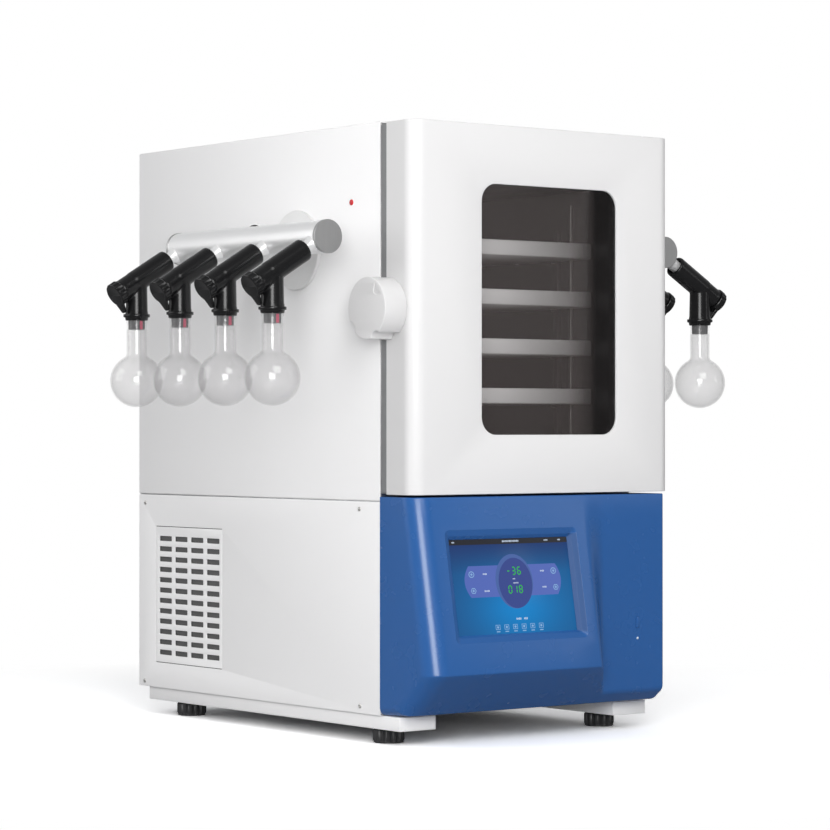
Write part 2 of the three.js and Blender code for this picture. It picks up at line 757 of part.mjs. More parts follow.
function consoleBody(inset, rearY) {
  const half = halfWidth - inset;
  const leftRadius = consoleLeftEdgeRadius - inset;
  const rightRadius = consoleRightEdgeRadius - inset;
  const cornerShares = [0, 0.08, 0.3, 0.6, 1];
  const valleyStops = [0, 0.25, 0.5, 0.75, 1].map((share) => (
    consoleBulgeEnd + share * (consoleValleyEnd - consoleBulgeEnd)));
  const stations = [
    ...cornerShares.map((share) => -half + share * leftRadius),
    ...valleyStops,
    ...cornerShares.reverse().map((share) => half - share * rightRadius),
  ];
  const noseToChin = consoleTopReach + consoleNoseReach - consoleChinReach;
  const undercut = (consoleNoseRise - consoleChinRise) / noseToChin;
  const outlines = stations.map((x) => {
    const setback = consoleEdgeSetback(x, half, x < 0 ? leftRadius : rightRadius) + inset;
    const topY = -consoleTopReach + setback;
    const noseY = -consoleTopReach - consoleNoseReach * consoleSwell(x) + setback;
    const noseZ = baseBottom + consoleChinRise + (-consoleChinReach - noseY + setback) * undercut;
    const topZ = casingBottom + consoleTopGap - seatGap - inset;
    return [
      [x, rearY, topZ],
      [x, topY, topZ],
      [x, noseY, noseZ + inset],
      [x, -consoleChinReach + setback, baseBottom + consoleChinRise + inset],
      [x, rearY, baseBottom + inset],
    ];
  });
  return loft(outlines);
}

// The face frame of the screen: X across, Y inward along the face's normal, Z up the slope.
const consoleTopZ = casingBottom + consoleTopGap - seatGap;
const consoleNoseZ = baseBottom + consoleNoseRise;
const consoleTilt = Math.atan2(consoleNoseReach, consoleTopZ - consoleNoseZ);
const screenZ = baseBottom + screenCentreRise;
const screenY = -consoleTopReach - (consoleTopZ - screenZ) * Math.tan(consoleTilt);

function onConsoleFace(solid) {
  const matrix = new THREE.Matrix4().makeRotationX(-consoleTilt);
  matrix.setPosition(screenCentreX, screenY, screenZ);
  return solid.transform(matrix.toArray());
}

function screenRectangle(margin, depth) {
  const x = screenWidth / 2 + margin;
  const z = screenHeight / 2 + margin;
  return [[-x, depth, -z], [x, depth, -z], [x, depth, z], [-x, depth, z]];
}

function consoleParts() {
  const backing = loft([screenRectangle(bezelDraft + bezelWall, overrun),
    screenRectangle(bezelDraft + bezelWall, bezelDepth + bezelWall)].reverse());
  const pocket = loft([screenRectangle(bezelDraft + overrun * bezelDraft / bezelDepth, -overrun),
    screenRectangle(0, bezelDepth)].reverse());
  const through = loft([screenRectangle(0, bezelDepth - overrun),
    screenRectangle(0, bezelDepth + bezelWall + overrun)].reverse());
  const skin = cut(consoleBody(0, -seatGap), [consoleBody(consoleWall, overrun)]);
  const cover = cut(skin.add(onConsoleFace(backing)), [onConsoleFace(pocket), onConsoleFace(through)]);
  const glass = loft([screenRectangle(-seatGap, bezelDepth),
    screenRectangle(-seatGap, bezelDepth + screenThickness)].reverse());
  return [
    piece('console_cover', cover, bluePaint),
    piece('touch_screen', onConsoleFace(glass), screenGlass),
  ];
}

// ---------------------------------------------------------------- manifolds, valves and flasks
// Everything on one side hangs in a frame whose origin is on the casing's flank, -X outward.
const portDirection = [-Math.cos(portSlope), 0, -Math.sin(portSlope)];

function alongPort(distance, y = 0) {
  return [portDirection[0] * distance, y, portDirection[2] * distance];
}

function portPositions() {
  return Array.from({ length: portCount }, (_, port) => (port - (portCount - 1) / 2) * portPitch);
}

function manifold(name) {
  const half = manifoldLength / 2;
  const shift = ([x, y, z]) => [x - manifoldReach, y, z];
  const inlet = halfWidth - chamberWidth / 2 - chamberWall - seatGap;
  const stubStart = manifoldTubeRadius - 2 * manifoldWall;
  const stubs = portPositions().map((y) => (
    rod(shift(alongPort(stubStart, y)), shift(alongPort(stubEnd, y)), stubRadius, 8)));
  const body = joined([
    rod([-seatGap, 0, -manifoldFlangeDrop], [-manifoldFlangeDepth, 0, -manifoldFlangeDrop],
      manifoldFlangeRadius, 24),
    rod([-manifoldFlangeDepth + overrun, 0, 0], [-manifoldReach, 0, 0], manifoldNeckRadius, 14),
    rod([-manifoldReach, -half, 0], [-manifoldReach, half, 0], manifoldTubeRadius, 16),
    rod([-overrun, 0, 0], [inlet, 0, 0], manifoldInletRadius, 12),
    ...stubs,
  ]);
  const bores = [
    rod([-manifoldReach, -half + manifoldWall, 0], [-manifoldReach, half - manifoldWall, 0],
      manifoldTubeRadius - manifoldWall, 12),
    rod([-manifoldReach, 0, 0], [inlet + overrun, 0, 0], manifoldInletRadius - manifoldWall, 8),
    ...portPositions().map((y) => (
      rod(shift(alongPort(stubBore, y)), shift(alongPort(stubEnd + overrun, y)), stubBore, 5))),
  ];
  return piece(name, cut(body, bores), polished);
}

// Valve body: a moulded elbow that pushes onto a stub, with a collar and a ground adapter below.
function valveBody(name) {
  const [neckX, , neckZ] = alongPort(valveNeckAt);
  const neckEnd = -valveNeckDrop;
  const collarTop = neckEnd + valveCollarRise + valveCollarHeight;
  const body = joined([
    rod(alongPort(valveStart), alongPort(valveEnd), valveRadius, 12),
    rod([neckX, 0, neckZ], [neckX, 0, neckEnd], valveRadius, 12),
    rod([neckX, 0, collarTop], [neckX, 0, neckEnd + valveCollarRise], valveCollarRadius, 12),
    rod([neckX, 0, neckEnd + overrun], [neckX, 0, neckEnd - adapterLength], adapterRadius, 10),
  ]);
  return piece(name, cut(body, [
    hole(alongPort(valveStart - overrun), alongPort(stubEnd + overrun), stubRadius, 8),
    rod(alongPort(stubEnd), alongPort(valveNeckAt), stubBore, 5),
    rod([neckX, 0, neckZ], [neckX, 0, neckEnd - adapterLength - overrun], adapterBore, 5),
    hole(alongPort(valveEnd - valvePlugLength), alongPort(valveEnd + overrun), valvePlugRadius, 8),
  ]), blackRubber);
}

// Valve knob: a disc with a pointer lever, turning on a plug in the valve's outer end.
function valveKnob(name) {
  const start = valveEnd + seatGap;
  const disc = joined([
    rod(alongPort(start), alongPort(start + knobThickness), knobRadius, 12),
    rod(alongPort(valveEnd - valvePlugLength + seatGap), alongPort(start + overrun), valvePlugRadius, 8),
  ]);
  const outline = new THREE.Shape();
  outline.moveTo(0, -leverRootWidth / 2);
  outline.lineTo(leverLength - leverTipWidth / 2, -leverTipWidth / 2);
  outline.absarc(leverLength - leverTipWidth / 2, 0, leverTipWidth / 2, -Math.PI / 2, Math.PI / 2);
  outline.lineTo(0, leverRootWidth / 2);
  outline.closePath();
  const geometry = new THREE.ExtrudeGeometry(outline,
    { depth: leverThickness, bevelEnabled: false, curveSegments: 2 });
  const along = new THREE.Vector3(...portDirection);
  const down = new THREE.Vector3(-portDirection[2], 0, portDirection[0]);
  const across = new THREE.Vector3().crossVectors(along, down);
  geometry.applyMatrix4(new THREE.Matrix4().makeBasis(down, across, along));
  geometry.translate(...alongPort(start + knobThickness - leverThickness));
  return piece(name, disc.add(toSolid(geometry)), blackRubber);
}

// A round-bottom flask blown in one piece, hanging by its neck from the adapter.
function flask(name) {
  const inner = clearing(adapterRadius, flaskSides);
  const outer = inner + flaskWall;
  const rim = -valveNeckDrop - seatGap;
  const centre = rim - flaskNeckLength - Math.sqrt(flaskRadius ** 2 - outer ** 2);
  const wallProfile = (ballRadius, neckRadius) => {
    const opening = Math.asin(neckRadius / ballRadius);
    return Array.from({ length: flaskBands + 1 }, (_, band) => {
      const angle = Math.PI - (band / flaskBands) * (Math.PI - opening);
      return [band === 0 ? 0 : ballRadius * Math.sin(angle), centre + ballRadius * Math.cos(angle)];
    });
  };
  const outside = [...wallProfile(flaskRadius, outer), [outer, rim]];
  const inside = [...wallProfile(flaskRadius - flaskWall, inner), [inner, rim]];
  const glass = turned([...outside, ...inside.reverse()], flaskSides);
  const mesh = piece(name, glass, clearGlass);
  mesh.position.set(alongPort(valveNeckAt)[0], 0, 0);
  return mesh;
}

function manifoldSide(sideName, side) {
  const hanger = new THREE.Group();
  hanger.position.set(side * halfWidth, manifoldY, manifoldZ);
  hanger.rotation.z = side < 0 ? 0 : Math.PI;
  hanger.add(manifold(`manifold_${sideName}`));
  portPositions().forEach((y, port) => {
    const fromFront = side < 0 ? port + 1 : portCount - port;
    const station = new THREE.Group();
    station.position.set(-manifoldReach, y, 0);
    station.add(
      valveBody(`valve_body_${sideName}_${fromFront}`),
      valveKnob(`valve_knob_${sideName}_${fromFront}`),
      flask(`flask_${sideName}_${fromFront}`),
    );
    hanger.add(station);
  });
  return hanger;
}

// ---------------------------------------------------------------- refrigeration bay
function compressor() {
  const low = baseTop + seatGap;
  const top = low + compressorHeight;
  const shoulder = compressorRadius / 3;
  const crown = compressorRadius / 2;
  const can = turned([
    [0, low],
    [compressorRadius + compressorFlangeReach, low],
    [compressorRadius + compressorFlangeReach, low + compressorFlangeThickness],
    [compressorRadius, low + compressorFlangeThickness],
    [compressorRadius, top - shoulder],
    [(compressorRadius + 2 * crown) / 2 - shoulder / 2, top - shoulder / 3],
    [crown, top],
    [0, top],
  ], 28);
  const mesh = piece('compressor', can, blackEnamel);
  mesh.position.set(compressorX, compressorY, 0);
  return mesh;
}

// Condenser: a finned block that stands behind the left vent, with the fan motor on its inner face.
function condenserParts() {
  const outerX = -halfWidth + condenserSideGap;
  const innerX = outerX + condenserDepth;
  const y = cabinetDepth - sideVentRearInset;
  const low = baseTop + seatGap;
  const axisZ = low + condenserHeight / 2;
  const motorEnd = innerX + fanMotorLength;
  const hubStart = motorEnd + seatGap;
  const shaftEnd = hubStart + fanHubLength;
  const core = joined([
    block([outerX, y - condenserWidth / 2, low], [innerX, y + condenserWidth / 2, low + condenserHeight]),
    rod([innerX - overrun, y, axisZ], [motorEnd, y, axisZ], fanMotorRadius),
    rod([motorEnd - overrun, y, axisZ], [shaftEnd, y, axisZ], fanShaftRadius, 12),
  ]);
  const blades = Array.from({ length: fanBlades }, (_, blade) => {
    const root = fanHubRadius - fanBladeThickness;
    const geometry = new THREE.BoxGeometry(fanBladeThickness, fanBladeWidth, fanRadius - root);
    geometry.translate(0, 0, (fanRadius + root) / 2);
    geometry.rotateZ(fanBladePitch);
    geometry.rotateX((blade / fanBlades) * Math.PI * 2);
    geometry.translate(hubStart + fanHubLength / 2, y, axisZ);
    return toSolid(geometry);
  });
  const hub = rod([hubStart, y, axisZ], [shaftEnd, y, axisZ], fanHubRadius);
  const bore = hole([hubStart - overrun, y, axisZ], [shaftEnd + overrun, y, axisZ], fanShaftRadius, 12);
  return [
    piece('condenser', core, finAluminium),
    piece('condenser_fan', cut(joined([hub, ...blades]), [bore]), blackEnamel),
  ];
}

// ---------------------------------------------------------------- rear connections
function powerInlet() {
  const z = baseBottom + inletRise;
  const box = (margin, y0, y1) => block(
    [inletX - inletWidth / 2 + margin, y0, z - inletHeight / 2 + margin],
    [inletX + inletWidth / 2 - margin, y1, z + inletHeight / 2 - margin]);
  const front = cabinetDepth + inletProud;
  const collar = box(-inletFlange, cabinetDepth + seatGap, front);
  const body = box(0, front - inletDepth, front);
  const socket = box(inletRim, front - inletDepth + inletBack, front + overrun);
  return piece('power_inlet', cut(joined([collar, body]), [socket]), footPlastic);
}

// The vacuum pump's connection: a pipe from the chamber's rear wall to a small clamp flange.
function vacuumPort() {
  const z = chamberFloor + portRise;
  const start = chamberRearY + chamberWall + seatGap;
  const end = cabinetDepth + portProud;
  const pipe = joined([
    rod([portX, start, z], [portX, end, z], portPipeRadius),
    rod([portX, end - portFlangeThickness, z], [portX, end, z], portFlangeRadius, 32),
  ]);
  const bore = rod([portX, start - overrun, z], [portX, end + overrun, z], portPipeBore);
  return piece('vacuum_port', cut(pipe, [bore]), stainless);
}

// ---------------------------------------------------------------- whole machine
const freezeDryer = new THREE.Group();
freezeDryer.add(
  ...base(),
  ...sheetMetal(),
  vacuumChamber(),
  ...shelves(),
  shelfRack(),
  coldTrapCoil(),
  ...door(),
  ...consoleParts(),
  manifoldSide('left', -1),
  manifoldSide('right', 1),
  compressor(),
  ...condenserParts(),
  powerInlet(),
  vacuumPort(),
);
freezeDryer.position.y = -(frontMostY + rearMostY) / 2;

export default freezeDryer;
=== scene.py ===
import math

import bmesh
import bpy
from mathutils import Matrix, Vector


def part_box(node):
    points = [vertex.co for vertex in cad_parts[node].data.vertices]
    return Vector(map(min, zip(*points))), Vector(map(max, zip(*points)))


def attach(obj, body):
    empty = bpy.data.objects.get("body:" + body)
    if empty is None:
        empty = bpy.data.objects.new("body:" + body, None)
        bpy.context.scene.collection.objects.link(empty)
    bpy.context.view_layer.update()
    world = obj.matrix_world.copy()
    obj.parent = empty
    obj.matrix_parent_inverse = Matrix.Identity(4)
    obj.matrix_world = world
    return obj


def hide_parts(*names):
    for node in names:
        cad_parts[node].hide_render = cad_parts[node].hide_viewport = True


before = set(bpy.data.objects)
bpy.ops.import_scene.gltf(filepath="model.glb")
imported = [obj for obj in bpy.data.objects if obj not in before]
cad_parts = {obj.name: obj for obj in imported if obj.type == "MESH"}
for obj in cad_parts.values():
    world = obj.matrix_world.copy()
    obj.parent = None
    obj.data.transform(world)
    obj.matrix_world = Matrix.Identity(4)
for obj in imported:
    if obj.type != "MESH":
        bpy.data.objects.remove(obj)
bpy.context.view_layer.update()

# ------------------------------------------------------------------ studio
# A wide white floor runs into a white surround, under a soft grey sky that is brighter behind
# the machine. Four area lamps light it, the stronger two from the front left, and the camera
# stands at the machine's mid height.


class Wire:
    """A shader socket. Arithmetic on wires adds the Math nodes it needs."""

    def __init__(self, tree, socket=None):
        self.tree = tree
        self.socket = socket

    def node(self, kind, settings=None, sockets=None, out=0):
        """Any other node: its type, its settings, what its sockets hold, and the output used."""
        made = self.tree.nodes.new("ShaderNode" + kind)
        for name, value in (settings or {}).items():
            setattr(made, name, value)
        for name, value in (sockets or {}).items():
            if isinstance(value, Wire):
                value.into(made, name)
            else:
                made.inputs[name].default_value = value
        return Wire(self.tree, made.outputs[out])

    def maths(self, operation, first, second=0.0):
        return self.node("Math", {"operation": operation}, {0: first, 1: second})

    def __add__(self, other):
        return self.maths("ADD", self, other)

    __radd__ = __add__

    def __sub__(self, other):
        return self.maths("SUBTRACT", self, other)

    def __rsub__(self, other):
        return self.maths("SUBTRACT", other, self)

    def __mul__(self, other):
        return self.maths("MULTIPLY", self, other)

    __rmul__ = __mul__

    def __gt__(self, other):
        return self.maths("GREATER_THAN", self, other)

    def clamped(self):
        """This wire's value, held between 0 and 1."""
        return self.maths("MAXIMUM", self.maths("MINIMUM", self, 1.0), 0.0)

    def blended(self, low, high):
        """The colour between low and high that this wire's value picks."""
        sockets = {0: self, 6: low, 7: high}
        return self.node("Mix", {"data_type": "RGBA"}, sockets, out=2)

    def own(self, axis, kind="Object"):
        """X, Y or Z of a point in the piece's own metres, or as another kind of coordinate."""
        place = self.node("TexCoord", out=kind)
        return self.node("SeparateXYZ", None, {0: place}, out=axis)

    def into(self, node, socket):
        self.tree.links.new(self.socket, node.inputs[socket])


def as_seen(start, lighting, shown):
    """A shader for the light it gives, and another where it is seen, or seen through glass."""
    seen = (start.node("LightPath", out="Is Camera Ray")
            + start.node("LightPath", out="Is Transmission Ray")) > 0.5
    return start.node("MixShader", None, {0: seen, 1: lighting, 2: shown})


def set_up(name, kit, place, aim):
    """Stands a lamp or the camera at a place, looking along aim."""
    stand = bpy.data.objects.new(name, kit)
    stand.location = place
    stand.rotation_mode = "QUATERNION"
    stand.rotation_quaternion = aim.to_track_quat("-Z", "Y")
    bpy.context.scene.collection.objects.link(stand)
    return stand


plain_white = (1.0, 1.0, 1.0, 1.0)
surround = bpy.data.worlds.new("surround")
surround.use_nodes = True
surround.node_tree.nodes.clear()
start = Wire(surround.node_tree)
behind = (0.5 + 0.8 * start.own("Y", "Generated")).clamped()
sky = start.node("Background", None, {"Color": (0.98, 0.985, 1.0, 1.0),
                                      "Strength": 0.23 + 0.26 * behind})
white = start.node("Background", None, {"Color": plain_white, "Strength": 1.0})
as_seen(start, sky, white).into(start.tree.nodes.new("ShaderNodeOutputWorld"), "Surface")
bpy.context.scene.world = surround

floor_radius, white_from, white_over = 60.0, 0.85, 0.5
mesh = bpy.data.meshes.new("studio_floor")
bm = bmesh.new()
bmesh.ops.create_circle(bm, cap_ends=True, segments=96, radius=floor_radius)
bm.to_mesh(mesh)
bm.free()
floor = bpy.data.objects.new("studio_floor", mesh)
bpy.context.scene.collection.objects.link(floor)
floor_paint = bpy.data.materials.new("studio_floor")
floor_paint.use_nodes = True
floor_paint.node_tree.nodes.clear()
start = Wire(floor_paint.node_tree)
bounce = start.node("BsdfDiffuse", None, {"Color": (0.42, 0.42, 0.425, 1.0)})
sheet = start.node("BsdfDiffuse", None, {"Color": (1.75, 1.75, 1.75, 1.0)})
white = start.node("Emission", None, {"Color": plain_white, "Strength": 1.0})
away = start.node("VectorMath", {"operation": "LENGTH"},
                  {0: start.node("TexCoord", out="Object")}, out="Value")
far = ((away - white_from) * (1 / white_over)).clamped()
sheet = start.node("MixShader", None, {0: far, 1: sheet, 2: white})
as_seen(start, bounce, sheet).into(start.tree.nodes.new("ShaderNodeOutputMaterial"), "Surface")
mesh.materials.append(floor_paint)

for name, place, target, width, height, watts in (
        ("key_light", (-1.2, -3.6, 2.9), (0.0, -0.1, 0.5), 2.2, 2.2, 70.0),
        ("panel_corner", (-2.8, -3.6, 1.1), (-0.1, -0.1, 0.55), 1.8, 1.8, 110.0),
        ("panel_left", (-2.4, 1.3, 1.4), (-0.26, 0.1, 0.55), 1.8, 1.8, 17.0),
        ("panel_right", (2.6, -3.0, 1.4), (0.0, -0.2, 0.5), 0.7, 1.4, 5.0)):
    lamp = bpy.data.lights.new(name, "AREA")
    lamp.shape, lamp.size, lamp.size_y, lamp.energy = "RECTANGLE", width, height, watts
    set_up(name, lamp, place, Vector(target) - Vector(place))

camera_place = (-3.0135, -3.9806, 0.4922)
azimuth, elevation = math.radians(-37.4729), math.radians(-0.2365)
back = Vector((math.sin(azimuth) * math.cos(elevation), -math.cos(azimuth) * math.cos(elevation),
               math.sin(elevation)))
optics = bpy.data.cameras.new("camera")
optics.sensor_width, optics.lens, optics.clip_end = 36.0, 129.0, 200.0
bpy.context.scene.camera = set_up("camera", optics, camera_place, -back)
bpy.context.scene.view_settings.view_transform = "Standard"

# ------------------------------------------------------------------ base rails
# Two folded steel channels, open below, with the same white powder coat as the casing. They
# run from front to rear under the base plate and take the studs of the levelling feet.


def finish(name, colour, roughness, metallic=0.0, **constants):
    """A new material with plain values on its shader, and a wire to build on."""
    material = bpy.data.materials.new(name)
    material.use_nodes = True
    sockets = material.node_tree.nodes["Principled BSDF"].inputs
    sockets["Base Color"].default_value = (*colour, 1.0)
    sockets["Roughness"].default_value = roughness
    sockets["Metallic"].default_value = metallic
    for socket, value in constants.items():
        sockets[socket.replace("_", " ")].default_value = value
    return material, Wire(material.node_tree)


def surfaced(material, relief=None, **wires):
    """The material with wires led to its shader; relief is a height, its depth and strength."""
    tree = material.node_tree
    if relief:
        sockets = dict(zip(("Height", "Distance", "Strength"), relief))
        wires["Normal"] = Wire(tree).node("Bump", None, sockets)
    for socket, wire in wires.items():
        wire.into(tree.nodes["Principled BSDF"], socket.replace("_", " "))
    return material


def toned(colour, share=1.0, dust=0.0):
    """A colour for a socket, darker or lighter by share and greyed by dust."""
    return tuple(min(1.0, channel * share + dust) for channel in colour) + (1.0,)


def grain(start, scale, detail=2.0, stretch=(1.0, 1.0, 1.0), rough=0.5):
    """Noise in the piece's own metres; stretch thins it out along an axis."""
    place = start.node("TexCoord", out="Object")
    place = start.node("Mapping", None, {"Vector": place, "Scale": stretch})
    sockets = {"Vector": place, "Scale": scale, "Detail": detail, "Roughness": rough}
    return start.node("TexNoise", None, sockets)


def powder_coat(name, colour, roughness):
    """Stoved powder paint: a fine orange peel, and a faint cloudiness in tone and gloss."""
    material, start = finish(name, colour, roughness, Specular_IOR_Level=0.35)
    cloud = grain(start, 3.0, 1.0)
    return surfaced(material, (grain(start, 520.0, 1.0), 0.00003, 0.3),
                    Base_Color=cloud.blended(toned(colour, 0.99), toned(colour)),
                    Roughness=roughness - 0.02 + 0.04 * grain(start, 60.0))


def seated(piece, material=None, node=None, body="cabinet"):
    """Puts a piece on its body, with its finish, and hides the node it stands for."""
    if piece.name not in bpy.context.scene.collection.objects:
        bpy.context.scene.collection.objects.link(piece)
    if material is not None:
        piece.data.materials.clear()
        piece.data.materials.append(material)
    if node is not None:
        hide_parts(node)
    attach(piece, body)
    return piece


def from_bmesh(name, bm, crease=35.0, faces_out=False):
    """A mesh object from a bmesh, smooth except where two faces meet at more than crease.

    faces_out says that all its faces look outward already.
    """
    if not faces_out:
        bmesh.ops.recalc_face_normals(bm, faces=bm.faces)
    limit = math.radians(crease)
    for face in bm.faces:
        face.smooth = True
    for edge in bm.edges:
        edge.smooth = len(edge.link_faces) == 2 and edge.calc_face_angle(0.0) < limit
    mesh = bpy.data.meshes.new(name)
    bm.to_mesh(mesh)
    bm.free()
    return bpy.data.objects.new(name, mesh)


def eased(name, node, width, segments=2):
    """A copy of a sheet-metal node with its flat faces whole and its edges eased."""
    bm = bmesh.new()
    bm.from_mesh(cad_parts[node].data)
    bmesh.ops.remove_doubles(bm, verts=bm.verts, dist=1e-5)
    bmesh.ops.dissolve_limit(bm, angle_limit=math.radians(0.5), verts=bm.verts, edges=bm.edges)
    sharp = [edge for edge in bm.edges
             if len(edge.link_faces) == 2 and edge.calc_face_angle(0.0) > math.radians(30)]
    bmesh.ops.bevel(bm, geom=sharp, offset=width, segments=segments, profile=0.5,
                    affect="EDGES", clamp_overlap=True)
    bmesh.ops.remove_doubles(bm, verts=bm.verts, dist=1e-6)
    return from_bmesh(name, bm, 50.0)


white_coat = powder_coat("white_powder_coat", (0.880, 0.876, 0.876), 0.42)
for side in ("left", "right"):
    node = f"base_rail_{side}"
    seated(eased(f"rail_{side}", node, 0.0008), white_coat, node)

# ------------------------------------------------------------------ levelling feet
# Ribbed black nylon wheels on threaded steel studs. They screw up into the rails, stand on
# a plain pad, and are turned by their ribs to level the machine.


def oval(width, height, centre=(0.0, 0.0), sides=40):
    return [(centre[0] + width / 2 * math.cos(2 * math.pi * k / sides),
             centre[1] + height / 2 * math.sin(2 * math.pi * k / sides)) for k in range(sides)]


def lofted(rings, closed_ends=True):
    """A bmesh through rings of points with one count; a ring of one point closes on an axis."""
    bm = bmesh.new()
    rows = [[bm.verts.new(point) for point in ring] for ring in rings]
    sides = max(len(row) for row in rows)
    for low, high in zip(rows, rows[1:]):
        for k in range(sides):
            after = (k + 1) % sides
            corners = dict.fromkeys([low[k % len(low)], low[after % len(low)],
                                     high[after % len(high)], high[k % len(high)]])
            if len(corners) > 2:
                bm.faces.new(list(corners))
    if closed_ends:
        bm.faces.new(list(reversed(rows[0])))
        bm.faces.new(rows[-1])
    return bm


def about(axis, place):
    """The turn and place that send +Z to an axis through a point."""
    return Matrix.Translation(place) @ Vector(axis).to_track_quat("Z", "Y").to_matrix().to_4x4()


def turned(name, profile, sides, crease=35.0, axis=None, place=(0.0, 0.0, 0.0)):
    """A turned solid from (radius, height) pairs, about Z or another axis through place."""
    rings = []
    for radius, height in profile:
        around = oval(2 * radius, 2 * radius, sides=sides) if radius > 0.0 else [(0.0, 0.0)]
        rings.append([(x, y, height) for x, y in around])
    piece = from_bmesh(name, lofted(rings, closed_ends=False), crease)
    piece.data.transform(about(axis, place) if axis else Matrix.Translation(place))
    return piece


def fluted(levels, sides, hollow):
    """A bmesh of (height, radius, depth) levels, cut in by depth times hollow(angle)."""
    rings = []
    for height, radius, depth in levels:
        ring = []
        for k in range(sides):
            angle = 2 * math.pi * k / sides
            reach = radius - depth * hollow(angle)
            ring.append((reach * math.cos(angle), reach * math.sin(angle), height))
        rings.append(ring)
    return lofted(rings)


def threaded_stud(name, radius, low, high):
    """A stud whose thread is a run of close rings."""
    pitch, root = 0.00125, radius * 0.93
    profile = [(0.0, low)]
    for turn in range(int((high - low) / pitch)):
        bottom = low + turn * pitch
        profile += [(root, bottom), (radius, bottom + pitch * 0.5)]
    return turned(name, profile + [(root, high), (0.0, high)], 24, 80.0)


def nylon(name, colour, roughness):
    """Moulded black nylon: a fine spark texture, with a little grey dust in patches."""
    material, start = finish(name, colour, roughness, Specular_IOR_Level=0.4)
    dusty = grain(start, 140.0, 4.0) > 0.62
    return surfaced(material, (grain(start, 1600.0, 2.0), 0.00012, 0.5),
                    Base_Color=dusty.blended(toned(colour), toned(colour, dust=0.022)),
                    Roughness=roughness - 0.08 + 0.16 * grain(start, 300.0))


def brushed(name, colour, roughness, along):
    """Stainless with a fine satin grain that runs along one axis: 0 is X, 1 is Y, 2 is Z."""
    material, start = finish(name, colour, roughness, 1.0)
    stretch = [1.0, 1.0, 1.0]
    stretch[along] = 0.02
    lines = grain(start, 900.0, 3.0, stretch, 0.6)
    return surfaced(material, (lines, 0.000012, 0.6),
                    Base_Color=lines.blended(toned(colour, 0.9), toned(colour, 1.06)),
                    Roughness=roughness - 0.07 + 0.14 * lines)


def box_of(node):
    """The lowest and the highest corner of a node, and its middle."""
    low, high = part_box(node)
    return low, high, (low + high) / 2


foot_nylon = nylon("foot_nylon", (0.036, 0.036, 0.038), 0.34)
satin_upright = brushed("satin_steel_upright", (0.58, 0.58, 0.57), 0.34, 2)
foot_radius, rib_depth, ribs, foot_top, stud_radius = 0.0249, 0.0028, 16, 0.0236, 0.0049
# Each level is a height, a share of the radius and a share of the ribs' depth.
foot_levels = [(0.0, 0.90, 0.0), (0.0006, 0.95, 0.0), (0.0022, 0.95, 0.0), (0.0026, 0.93, 0.2),
               (0.0040, 0.985, 1.0), (0.0050, 1.0, 1.0), (0.0195, 1.0, 1.0),
               (0.0212, 0.96, 1.0), (0.0224, 0.88, 0.5), (foot_top, 0.80, 0.0)]
for side in ("left", "right"):
    for end in ("front", "rear"):
        node = f"levelling_foot_{end}_{side}"
        low, high, middle = box_of(node)
        levels = [(height, share * foot_radius, share * rib_depth * ribbing)
                  for height, share, ribbing in foot_levels]
        wheel = from_bmesh(f"foot_wheel_{end}_{side}", fluted(
            levels, 8 * ribs, lambda angle: abs(math.cos(ribs * angle / 2)) ** 0.7), 28.0)
        stud = threaded_stud(f"foot_stud_{end}_{side}", stud_radius, foot_top, high.z - 0.0002)
        wheel.location = stud.location = (middle.x, middle.y, 0.0)
        seated(wheel, foot_nylon, node, f"foot_{end}_{side}")
        seated(stud, satin_upright, body=f"foot_{end}_{side}")

# ------------------------------------------------------------------ base plate and deck
# Plain plated sheet: the floor of the lower bay, and the deck that the chamber stands on.
# Both are cut blanks, spot welded to the frames of the bay.


def plated_sheet(name, colour, roughness):
    """Zinc-plated sheet: broad soft spangle in tone and gloss, and fine rolling lines."""
    material, start = finish(name, colour, roughness, 1.0)
    spangle = start.node("TexVoronoi", {"feature": "F1"},
                         {"Vector": start.node("TexCoord", out="Object"), "Scale": 90.0},
                         out="Distance")
    return surfaced(material, (grain(start, 700.0, 2.0, (1.0, 0.03, 1.0)), 0.00001, 0.5),
                    Base_Color=spangle.blended(toned(colour), toned(colour, 0.82)),
                    Roughness=roughness - 0.06 + 0.18 * spangle)


zinc = plated_sheet("zinc_plate", (0.55, 0.56, 0.58), 0.38)
for node in ("base_plate", "chamber_deck"):
    seated(eased(f"{node}_sheet", node, 0.0004), zinc, node)

# ------------------------------------------------------------------ lower side panels
# White coated sheets with a slotted vent field edged by a fine groove. A lip folds in along the
# bottom and the top; a dark dust filter lies behind the slots.


def rounded_outline(width, height, radius, centre=(0.0, 0.0), steps=4):
    """A closed rectangle with rounded corners, as points from the lower right corner round."""
    if radius <= 0.0:
        steps = 0
    points = []
    for corner, (right, up) in enumerate(((1, -1), (1, 1), (-1, 1), (-1, -1))):
        x = centre[0] + right * (width / 2 - radius)
        y = centre[1] + up * (height / 2 - radius)
        for step in range(steps + 1):
            angle = math.radians(-90 + 90 * corner) + math.radians(90) * (step / max(steps, 1))
            points.append((x + radius * math.cos(angle), y + radius * math.sin(angle)))
    return points


